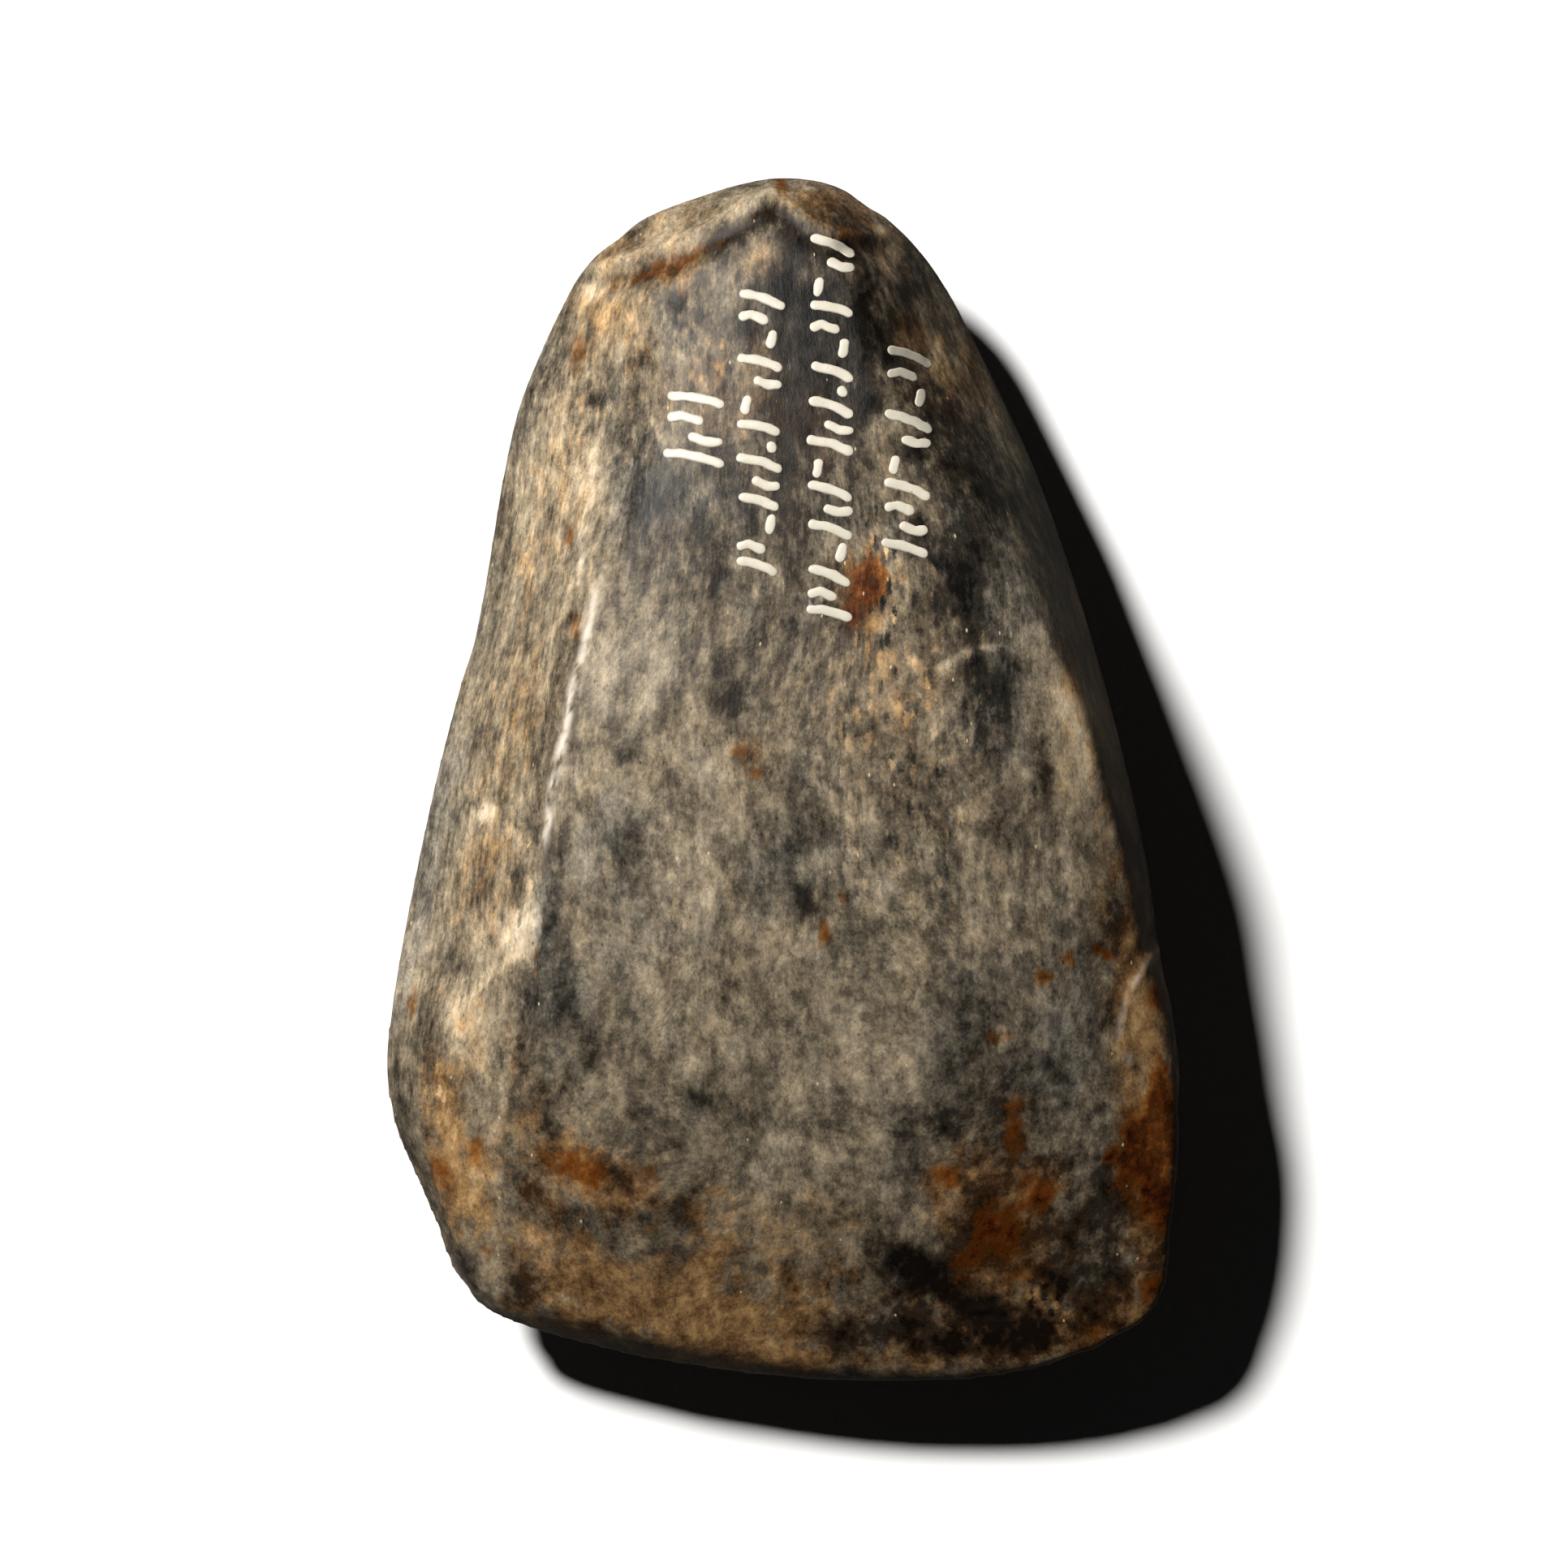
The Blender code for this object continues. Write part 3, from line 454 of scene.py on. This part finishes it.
CRACK_RUST = 0.45
SEAM_RUST = 0.50
# The ridge by the flank gets a painted highlight along its middle: some heights on it, and how strong the
# painted highlight is at each
HIGHLIGHT_HEIGHTS = (-6.5, -2.0, 10.0, 15.5)
HIGHLIGHT_SHARES = (0.0, 1.0, 1.0, 0.1)
# Below this height the steep faces of the blade's rim get a pale painted highlight, fading out as a face
# turns up by this much
BLADE_TOP_Y = -33.0
BLADE_TURN = 0.55

tone = field(PALE_CLOUDS) - field(DARK_CLOUDS)
for line, reach, shade in LINE_SHADES:
    tone += shade * groove(line, reach)
for line, run, shade in STEP_SHADES:
    tone += shade * ledge(line, run)
# The fine scratches as painted glints
for ends in SCRATCH_GLINTS:
    tone += SCRATCH_GLINT * groove(ends, SCRATCH_REACH) * np.clip(0.6 + FRAY, 0, 1)
rusty_lines = CRACK_RUST * groove(THIN_CRACK, 0.20) + SEAM_RUST * groove(UNDER_BUTT_RIDGE, 0.45)
# Painted highlight: a pale line of light along the flank ridge, on the crest of the chip at the right and on
# the blade's steep rim
ridge_highlight = groove(SIDE_RIDGE, 0.33) * np.interp(Y, HIGHLIGHT_HEIGHTS, HIGHLIGHT_SHARES)
ridge_highlight *= np.clip(0.70 + 1.2 * rough(1.1, stretch=1.6, octaves=4, seed=12.0), 0, 1)
chip_ridge_highlight = groove(RIGHT_CHIP_RIDGE, 0.24) * np.clip(0.3 + 1.4 * FRAY, 0, 1)
blade_rim_highlight = np.clip(1 - np.abs(FACING[:, 2]) / BLADE_TURN, 0, 1) * (Y < BLADE_TOP_Y)
put_field("tone", tone)
put_field("warmth", field(BROWN_EARTH) - field(COLD_GREY) + 0.10 * WANDER)
put_field("rust", np.clip(field(RUST_SPOTS) + rusty_lines * np.clip(0.5 + FRAY, 0, 1), 0, 1))
put_field("broken", np.clip(peck_marks + hackly + 0.7 * butt + scar_floor, 0, 1))
# Flecks of the rock, and where the painted glints come often
put_field("flecks_and_glints", np.clip(0.25 + field(FLECK_AND_GLINT_AREAS), 0, 2))
put_field("painted_highlight", np.clip(ridge_highlight + 0.45 * chip_ridge_highlight + 0.35 * blade_rim_highlight, 0, 1))
put_field("streaky", streaky)

# The fibres of the rock fan out from the butt to the cutting edge, so their coordinates do too
BUTT_Y = 42.0
FAN_LENGTH = 66.0
BUTT_FAN = 0.62
SIDEWAYS_BEND = 1.6
fan = BUTT_FAN + (1 - BUTT_FAN) * np.clip((BUTT_Y - Y) / FAN_LENGTH, 0, 1)
bend = SIDEWAYS_BEND * rough(18.0, stretch=1.5, octaves=2, seed=21.0)
fibre_run = np.column_stack([X / fan + bend, Y, Z])
rock.attributes.new("fibre_run", "FLOAT_VECTOR", "POINT").data.foreach_set("vector", fibre_run.ravel())


def linear(hex_colour):
    """An sRGB hex colour as linear red, green, blue and alpha."""
    parts = [int(hex_colour[i : i + 2], 16) / 255 for i in (1, 3, 5)]
    return (*(p / 12.92 if p <= 0.04045 else ((p + 0.055) / 1.055) ** 2.4 for p in parts), 1.0)


def add(tree, kind, inputs=(), stops=(), **settings):
    """Adds a node. inputs pairs a socket with a value, an output or a node; stops colour a ramp."""
    node = tree.nodes.new("ShaderNode" + kind)
    for name, value in settings.items():
        setattr(node, name, value)
    for socket, value in inputs:
        if isinstance(value, bpy.types.Node):
            value = next(output for output in value.outputs if output.enabled)
        if isinstance(value, bpy.types.NodeSocket):
            tree.links.new(value, node.inputs[socket])
        else:
            node.inputs[socket].default_value = value
    for n, (place, hex_colour) in enumerate(stops):
        element = node.color_ramp.elements[n] if n < 2 else node.color_ramp.elements.new(place)
        element.position = place
        element.color = linear(hex_colour)
    return node


def lumps(tree, run, across, along, seed, detail=5.0, bend=0.0):
    """Cloudy values about 0.5, with lumps of this many millimetres across and along the fibres."""
    place = add(tree, "Mapping", [("Vector", run), ("Scale", (1 / across, 1 / along, 1 / across))])
    given = [("Vector", place), ("W", seed), ("Scale", 1.0), ("Detail", detail), ("Roughness", 0.68)]
    return add(tree, "TexNoise", given + [("Distortion", bend)], noise_dimensions="4D")


def summed(tree, start, parts):
    """A number plus each part, where a part is how far a pattern is from 0.5, times its share."""
    total = start - sum(share / 2 for _, share in parts)
    for pattern, share in parts:
        total = add(tree, "Math", [(0, pattern), (1, share), (2, total)], operation="MULTIPLY_ADD")
    return total


# Settings of a soft rise, whose sockets are 0 the value, 1 and 2 where it starts and ends and 4 how high it
# gets, and of one colour laid over another, whose sockets are 0 the share and 6 and 7 the two colours
SOFT = {"interpolation_type": "SMOOTHSTEP"}
COLOURS = {"data_type": "RGBA"}
COLD_SHADES = (
    (0.0, "#0b0a08"), (1.0, "#d0c6b3"), (0.24, "#2a2823"),
    (0.42, "#544f46"), (0.60, "#80786a"), (0.78, "#a79c8a"),
)
WARM_SHADES = (
    (0.0, "#0f0b07"), (1.0, "#dccdb3"), (0.24, "#312a21"),
    (0.42, "#605545"), (0.60, "#8e7f68"), (0.78, "#b8a68a"),
)
BROWN_SHADES = (
    (0.0, "#130b05"), (1.0, "#e6cba2"), (0.24, "#3a2817"),
    (0.42, "#6c5033"), (0.60, "#9a794f"), (0.78, "#c4a175"),
)
RUST_SHADES = ((0.0, "#8a662f"), (1.0, "#1e0702"), (0.35, "#7a4a12"), (0.60, "#693509"), (0.82, "#451903"))
# Width and length of the felted crystals and of the specks, in millimetres
CRYSTAL_WIDTH = 0.50
CRYSTAL_LENGTH = 1.15
SPECK_WIDTH = 0.34
SPECK_LENGTH = 0.62


def polished_fibrous_stone():
    """Jade-like fibrous rock, ground and hand-polished: a silky sheen over clouds, streaks and rust, with
    painted highlights and painted shade along some ridges and the blade's rim, and painted glints.
    """
    material = bpy.data.materials.new("polished_fibrous_stone")
    material.use_nodes = True
    tree = material.node_tree
    shader = tree.nodes["Principled BSDF"]
    run = add(tree, "Attribute", attribute_name="fibre_run").outputs["Vector"]
    names = ("tone", "warmth", "rust", "broken", "flecks_and_glints", "painted_highlight", "streaky")
    fields = (add(tree, "Attribute", attribute_name=name).outputs["Fac"] for name in names)
    tone, warmth, rust, broken, flecks_and_glints, painted_highlight, streaky = fields

    clouds = lumps(tree, run, 5.5, 9.0, 1.0)
    streaks = lumps(tree, run, 1.4, 7.0, 2.0)
    blotches = lumps(tree, run, 2.3, 2.9, 9.0, 6.0, 0.1)
    mottle = lumps(tree, run, 0.80, 0.95, 3.0, 6.0)
    fibres = lumps(tree, run, 0.26, 2.4, 4.0, 4.0)
    grain = lumps(tree, run, 0.20, 0.25, 5.0, 4.0)
    combed = add(tree, "Math", [(0, fibres), (1, 0.5)], operation="SUBTRACT")
    combed = add(tree, "Math", [(0, streaks), (1, 1.1), (2, combed)], operation="MULTIPLY_ADD")
    combed = add(tree, "Math", [(0, combed), (1, 0.55)], operation="SUBTRACT")
    combed = add(tree, "Math", [(0, combed), (1, streaky)], operation="MULTIPLY")

    # Felted crystals about half a millimetre wide, each of its own shade, drawn about twice their real size
    bent = [(0, grain.outputs["Color"]), (1, (0.5, 0.9, 0.5)), (2, run)]
    bent = add(tree, "VectorMath", bent, operation="MULTIPLY_ADD")
    crystal_scale = (1 / CRYSTAL_WIDTH, 1 / CRYSTAL_LENGTH, 1 / CRYSTAL_WIDTH)
    crystal_place = add(tree, "Mapping", [("Vector", bent), ("Scale", crystal_scale)])
    crystals = add(tree, "TexVoronoi", [("Vector", crystal_place), ("Scale", 1.0)])
    crystal_shade = add(tree, "SeparateColor", [("Color", crystals.outputs["Color"])])
    heart = add(tree, "MapRange", [(0, crystals.outputs["Distance"]), (1, 0.75), (2, 0.25)], **SOFT)
    flecks = add(tree, "Math", [(0, crystal_shade.outputs[0]), (1, 0.5)], operation="SUBTRACT")
    flecks = add(tree, "Math", [(0, flecks), (1, heart)], operation="MULTIPLY")
    flecks = add(tree, "Math", [(0, flecks), (1, flecks_and_glints)], operation="MULTIPLY")

    value = summed(tree, 0.442, ((clouds, 0.85), (blotches, 0.85), (mottle, 0.68), (grain, 0.40)))
    value = add(tree, "Math", [(0, combed), (1, 0.48), (2, value)], operation="MULTIPLY_ADD")
    value = add(tree, "Math", [(0, value), (1, tone)], operation="ADD")
    value = add(tree, "Math", [(0, flecks), (1, 0.34), (2, value)], operation="MULTIPLY_ADD")

    patchy = lumps(tree, run, 2.2, 4.0, 6.0)
    hue = summed(tree, 0.20, ((patchy, 1.4), (mottle, 0.4), (clouds, 0.5)))
    hue = add(tree, "Math", [(0, hue), (1, warmth)], operation="ADD")
    hue = add(tree, "Math", [(0, flecks), (1, 0.9), (2, hue)], operation="MULTIPLY_ADD")
    cold = add(tree, "ValToRGB", [("Fac", value)], COLD_SHADES)
    warm = add(tree, "ValToRGB", [("Fac", value)], WARM_SHADES)
    brown = add(tree, "ValToRGB", [("Fac", value)], BROWN_SHADES)
    warmer = add(tree, "MapRange", [(0, hue), (1, -0.35), (2, 0.45)], **SOFT)
    browner = add(tree, "MapRange", [(0, hue), (1, 0.35), (2, 1.05)], **SOFT)
    colour = add(tree, "Mix", [(0, warmer), (6, cold), (7, warm)], **COLOURS)
    colour = add(tree, "Mix", [(0, browner), (6, colour), (7, brown)], **COLOURS)

    veins = lumps(tree, run, 4.0, 8.0, 7.0, 5.0, 1.4)
    off_vein = add(tree, "Math", [(0, veins), (1, 0.5)], operation="SUBTRACT")
    off_vein = add(tree, "Math", [(0, off_vein)], operation="ABSOLUTE")
    in_vein = add(tree, "MapRange", [(0, off_vein), (1, 0.020), (2, 0.0), (4, 0.32)], **SOFT)
    colour = add(tree, "Mix", [(0, in_vein), (6, colour), (7, linear("#1b1915"))], **COLOURS)

    # Iron stains: a yellowish halo that soaks in, then rust brown, then a dark red-brown heart
    stain_edge = lumps(tree, run, 0.7, 0.8, 8.0, 6.0)
    stain = summed(tree, -0.10, ((stain_edge, 1.8), (grain, 1.1)))
    stain = add(tree, "Math", [(0, rust), (1, 1.10), (2, stain)], operation="MULTIPLY_ADD")
    here = add(tree, "MapRange", [(0, rust), (1, 0.0), (2, 0.26)], **SOFT)
    halo = add(tree, "MapRange", [(0, stain), (1, -0.1), (2, 0.60), (4, 0.92)], **SOFT)
    halo = add(tree, "Math", [(0, halo), (1, here)], operation="MULTIPLY")
    tinted = [(0, halo), (6, colour), (7, linear("#d9a566"))]
    colour = add(tree, "Mix", tinted, blend_type="MULTIPLY", **COLOURS)
    core = add(tree, "MapRange", [(0, stain), (1, 0.15), (2, 1.00), (4, 0.72)], **SOFT)
    core = add(tree, "Math", [(0, core), (1, here)], operation="MULTIPLY")
    rust_colour = add(tree, "ValToRGB", [("Fac", stain)], RUST_SHADES)
    colour = add(tree, "Mix", [(0, core), (6, colour), (7, rust_colour)], **COLOURS)

    # Painted glints as bright specks of a quarter of a millimetre, more of them where flecks and glints are
    # marked, and dark specks of the same size
    speck_scale = (1 / SPECK_WIDTH, 1 / SPECK_LENGTH, 1 / SPECK_WIDTH)
    speck_place = add(tree, "Mapping", [("Vector", run), ("Scale", speck_scale)])
    specks = add(tree, "TexVoronoi", [("Vector", speck_place), ("Scale", 1.0)])
    kind = add(tree, "SeparateColor", [("Color", specks.outputs["Color"])])
    spot = add(tree, "MapRange", [(0, specks.outputs["Distance"]), (1, 0.32), (2, 0.12)], **SOFT)
    often = add(tree, "Math", [(0, flecks_and_glints), (1, -0.016), (2, 0.999)], operation="MULTIPLY_ADD")
    painted_glint = add(tree, "Math", [(0, kind.outputs[0]), (1, often)], operation="GREATER_THAN")
    painted_glint = add(tree, "Math", [(0, painted_glint), (1, spot)], operation="MULTIPLY")
    painted_glint = add(tree, "Math", [(0, painted_glint), (1, 0.60)], operation="MULTIPLY")
    colour = add(tree, "Mix", [(0, painted_glint), (6, colour), (7, linear("#ecd2a6"))], **COLOURS)
    dark = add(tree, "Math", [(0, kind.outputs[1]), (1, 0.975)], operation="GREATER_THAN")
    dark = add(tree, "Math", [(0, dark), (1, spot)], operation="MULTIPLY")
    dark = add(tree, "Math", [(0, dark), (1, 0.60)], operation="MULTIPLY")
    colour = add(tree, "Mix", [(0, dark), (6, colour), (7, linear("#17120b"))], **COLOURS)
    # The painted highlight: pale light laid on the flank ridge, the chip crest and the blade's rim
    colour = add(tree, "Mix", [(0, painted_highlight), (6, colour), (7, linear("#ddd0c0"))], **COLOURS)
    tree.links.new(colour.outputs[2], shader.inputs["Base Color"])

    gloss = summed(tree, 0.44, ((mottle, 0.30), (grain, 0.20)))
    gloss = add(tree, "Math", [(0, broken), (1, 0.22), (2, gloss)], operation="MULTIPLY_ADD")
    tree.links.new(gloss.outputs[0], shader.inputs["Roughness"])
    relief = summed(tree, 0.0, ((mottle, 0.5), (grain, 0.5)))
    relief = add(tree, "Math", [(0, combed), (1, 0.6), (2, relief)], operation="MULTIPLY_ADD")
    relief = add(tree, "Math", [(0, flecks), (1, 0.8), (2, relief)], operation="MULTIPLY_ADD")
    bump = add(tree, "Bump", [("Height", relief), ("Strength", 0.5), ("Distance", 0.09 * MM)])
    tree.links.new(bump.outputs["Normal"], shader.inputs["Normal"])
    shader.inputs["IOR"].default_value = 1.55
    shader.inputs["Specular IOR Level"].default_value = 0.11
    return material


rock.materials.clear()
rock.materials.append(polished_fibrous_stone())
rock.shade_smooth()
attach(stone, "root")
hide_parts("axe_head")


# The painted marks
# A collector's mark: thick white oil paint put on with a fine brush, in short slanted strokes along the
# stone. They are plain strokes and dots that spell nothing.

PAINT_THICK = 0.06
PAINT_SUNK = 0.10
BRUSH_HALF_WIDTH = 0.35
WIDTH_CHANGE = 0.30
SIDE_STRAY = 0.10
SLANT_CHANGE = 0.16
SIZE_CHANGE = 0.14
LOOK_AHEAD = 0.2
UNEVEN_ALONG = 1.7
UNEVEN_ACROSS = 0.8
POINTS_PER_BEND = 4
STROKE_SIDES = 10
STROKE_RINGS = 18
ABOVE_STONE = 50.0
# The lower and upper end of a row, half its width, and its strokes from the upper end down
ROWS = (
    ((-1.7, 14.0), (-1.4, 33.7), 1.20, "/,-/'_/./'/-,/"),
    ((3.2, 10.8), (3.5, 37.5), 1.22, "/'_/,-/./'/_/'/-/,/"),
    ((8.4, 15.2), (8.8, 29.9), 1.28, "/,-/'_/,'/"),
    ((-6.1, 21.4), (-5.8, 26.8), 1.70, "/,'/"),
)
# Each kind of stroke: its room along the row, then its points as (share across it, millimetres along it)
STROKES = {
    "/": (1.30, ((-0.95, 0.34), (-0.30, 0.22), (0.35, -0.02), (0.95, -0.40))),
    ",": (1.20, ((-0.95, 0.10), (-0.55, 0.22), (0.15, -0.16))),
    "'": (1.30, ((-0.10, 0.06), (0.50, -0.22), (0.95, -0.20))),
    "-": (1.80, ((0.72, 0.32), (0.62, -0.30))),
    "_": (1.80, ((-0.66, 0.30), (-0.76, -0.32))),
    ".": (1.10, ((0.60, -0.06), (0.64, -0.14))),
}
stone_tree = BVHTree.FromPolygons(
    [Vector(place) for place in points_of(rock)], [tuple(face.vertices) for face in rock.polygons]
)


def stone_height(x, y):
    """The height of the stone's front at a place, all in millimetres."""
    hit = stone_tree.ray_cast(Vector((x, y, ABOVE_STONE)) * MM, Vector((0, 0, -1)))
    return hit[0].z / MM


def paint_stroke(mesh, path, seed):
    """One brush stroke as a flat closed drop of paint that follows its path and the stone under it."""
    path = np.array(path)
    lengths = np.concatenate([[0], np.cumsum(np.hypot(*np.diff(path, axis=0).T))])
    total = lengths[-1] + 2 * BRUSH_HALF_WIDTH
    drop = bmesh.ops.create_uvsphere(mesh, u_segments=STROKE_SIDES, v_segments=STROKE_RINGS, radius=1.0)
    for vertex in drop["verts"]:
        side_x, side_y, pole = vertex.co
        at = (pole + 1) / 2 * total - BRUSH_HALF_WIDTH
        over = max(-at, at - lengths[-1], 0) / BRUSH_HALF_WIDTH
        width = BRUSH_HALF_WIDTH * math.sqrt(max(1 - over**2, 0))
        near = min(max(at, 0.0), lengths[-1])
        at_x, at_y = (np.interp(near, lengths, path[:, k]) for k in range(2))
        behind = [np.interp(near - LOOK_AHEAD, lengths, path[:, k]) for k in range(2)]
        ahead = [np.interp(near + LOOK_AHEAD, lengths, path[:, k]) - behind[k] for k in range(2)]
        size = math.hypot(*ahead)
        ring = math.hypot(side_x, side_y) or 1.0
        across, up = side_x / ring, side_y / ring
        uneven = 1 + WIDTH_CHANGE * noise.noise(Vector((at * UNEVEN_ALONG, across * UNEVEN_ACROSS, seed)))
        x = at_x - ahead[1] / size * across * width * uneven
        y = at_y + ahead[0] / size * across * width * uneven
        past = min(max(-at, 0), BRUSH_HALF_WIDTH) - min(max(at - lengths[-1], 0), BRUSH_HALF_WIDTH)
        x -= ahead[0] / size * past
        y -= ahead[1] / size * past
        lift = PAINT_THICK * up if up > 0 else PAINT_SUNK * up
        vertex.co = Vector((x, y, stone_height(x, y) + lift * width / BRUSH_HALF_WIDTH)) * MM


paint = bmesh.new()
for row, ((low_x, low_y), (high_x, high_y), half_width, marks) in enumerate(ROWS):
    room = sum(STROKES[mark][0] for mark in marks)
    used = 0.0
    for n, mark in enumerate(marks):
        width, points = STROKES[mark]
        share = 1 - (used + width / 2) / room
        used += width
        seed = 40.0 * row + 2.3 * n
        middle_x = low_x + (high_x - low_x) * share + SIDE_STRAY * noise.noise(Vector((seed, 1.5, 0.0)))
        middle_y = low_y + (high_y - low_y) * share
        slant = SLANT_CHANGE * noise.noise(Vector((seed, 3.5, 0.0)))
        size = 1 + SIZE_CHANGE * noise.noise(Vector((seed, 5.5, 0.0)))
        path = []
        for at in np.linspace(0, len(points) - 1, POINTS_PER_BEND * len(points)):
            across, along = (np.interp(at, range(len(points)), column) for column in zip(*points))
            across *= half_width * size
            path.append((middle_x + across, middle_y + along * size + slant * across))
        paint_stroke(paint, path, seed)
bmesh.ops.remove_doubles(paint, verts=paint.verts, dist=0.0001 * MM)
bmesh.ops.recalc_face_normals(paint, faces=paint.faces)
paint_data = bpy.data.meshes.new("painted_marks")
paint.to_mesh(paint_data)
paint.free()
paint_data.shade_smooth()
painted = bpy.data.objects.new("painted_marks", paint_data)
bpy.context.scene.collection.objects.link(painted)


def old_white_oil_paint():
    """Old lead-white oil paint: warm white, slightly glossy, brushed on thick, with tiny dirty specks."""
    material = bpy.data.materials.new("old_white_oil_paint")
    material.use_nodes = True
    tree = material.node_tree
    shader = tree.nodes["Principled BSDF"]
    place = add(tree, "TexCoord").outputs["Object"]
    dirt = lumps(tree, place, 0.16 * MM, 0.16 * MM, 1.0, 3.0)
    broad = lumps(tree, place, 1.6 * MM, 1.6 * MM, 2.0, 3.0)
    soiled = summed(tree, 0.5, ((dirt, 1.0), (broad, 0.5)))
    specks = add(tree, "MapRange", [(0, soiled), (1, 0.62), (2, 0.76), (4, 0.75)], **SOFT)
    colour = add(tree, "Mix", [(0, broad), (6, linear("#b7b09f")), (7, linear("#cdc6b6"))], **COLOURS)
    colour = add(tree, "Mix", [(0, specks), (6, colour), (7, linear("#6f5f49"))], **COLOURS)
    tree.links.new(colour.outputs[2], shader.inputs["Base Color"])
    shader.inputs["Roughness"].default_value = 0.48
    bump = add(tree, "Bump", [("Height", dirt), ("Strength", 0.4), ("Distance", 0.03 * MM)])
    tree.links.new(bump.outputs["Normal"], shader.inputs["Normal"])
    return material


paint_data.materials.append(old_white_oil_paint())
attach(painted, "root")


# The studio
# A wide plain white table, one lamp to the upper left at about 47 degrees that throws a short dark
# shadow, and very little light from anywhere else.

FLOOR_SIZE = 6.0
floor_mesh = bmesh.new()
bmesh.ops.create_grid(floor_mesh, x_segments=1, y_segments=1, size=FLOOR_SIZE / 2)
floor_data = bpy.data.meshes.new("floor")
floor_mesh.to_mesh(floor_data)
floor_mesh.free()
floor = bpy.data.objects.new("floor", floor_data)
bpy.context.scene.collection.objects.link(floor)
white_card = bpy.data.materials.new("matt_white_card")
white_card.use_nodes = True
card_shader = white_card.node_tree.nodes["Principled BSDF"]
card_shader.inputs["Roughness"].default_value = 0.9
card_shader.inputs["Specular IOR Level"].default_value = 0.0
# Next to no light comes back from the table to the stone in the photo, so the card is white only to the eye
card_seen = add(white_card.node_tree, "LightPath").outputs["Is Camera Ray"]
card_shades = [(0, card_seen), (6, linear("#5a5a58")), (7, linear("#efefef"))]
card_colour = add(white_card.node_tree, "Mix", card_shades, **COLOURS)
white_card.node_tree.links.new(card_colour.outputs[2], card_shader.inputs["Base Color"])
floor_data.materials.append(white_card)

LAMP_ELEVATION = 46.5
LAMP_BEARING = 132.5
LAMP_DISTANCE = 1.6
LAMP_SPREAD_DEG = 8.0
LAMP_POWER = 48.0
LAMP_COLOUR = (1.0, 0.985, 0.96)
lamp_data = bpy.data.lights.new("key_lamp", "AREA")
lamp_data.shape = "DISK"
lamp_data.size = 2 * LAMP_DISTANCE * math.tan(math.radians(LAMP_SPREAD_DEG / 2))
lamp_data.energy = LAMP_POWER
lamp_data.color = LAMP_COLOUR
lamp = bpy.data.objects.new("key_lamp", lamp_data)
bpy.context.scene.collection.objects.link(lamp)
towards = Vector(
    (
        math.cos(math.radians(LAMP_BEARING)) * math.cos(math.radians(LAMP_ELEVATION)),
        math.sin(math.radians(LAMP_BEARING)) * math.cos(math.radians(LAMP_ELEVATION)),
        math.sin(math.radians(LAMP_ELEVATION)),
    )
)
lamp.location = towards * LAMP_DISTANCE
lamp.rotation_euler = towards.to_track_quat("Z", "Y").to_euler()

FILL_STRENGTH = 0.0045
BACKDROP_STRENGTH = 1.0
world = bpy.data.worlds.new("studio")
world.use_nodes = True
bpy.context.scene.world = world
air = world.node_tree
background = air.nodes["Background"]
seen = add(air, "LightPath").outputs["Is Camera Ray"]
strength = add(air, "MapRange", [("Value", seen), ("To Min", FILL_STRENGTH), ("To Max", BACKDROP_STRENGTH)])
air.links.new(strength.outputs[0], background.inputs["Strength"])
background.inputs["Color"].default_value = (1.0, 1.0, 1.0, 1.0)

# The camera looks straight down, as the photo does, from far enough that the rim isn't hidden
LENS_MM = 200.0
SENSOR_MM = 36.0
VIEW_WIDTH = 0.1092
RIM_HEIGHT = 0.0100
CAMERA_X = 0.00014
CAMERA_Y = -0.00020
camera_data = bpy.data.cameras.new("camera")
camera_data.lens = LENS_MM
camera_data.sensor_width = SENSOR_MM
camera = bpy.data.objects.new("camera", camera_data)
bpy.context.scene.collection.objects.link(camera)
camera.location = (CAMERA_X, CAMERA_Y, RIM_HEIGHT + VIEW_WIDTH * LENS_MM / SENSOR_MM)
bpy.context.scene.camera = camera
bpy.context.scene.view_settings.view_transform = "Standard"
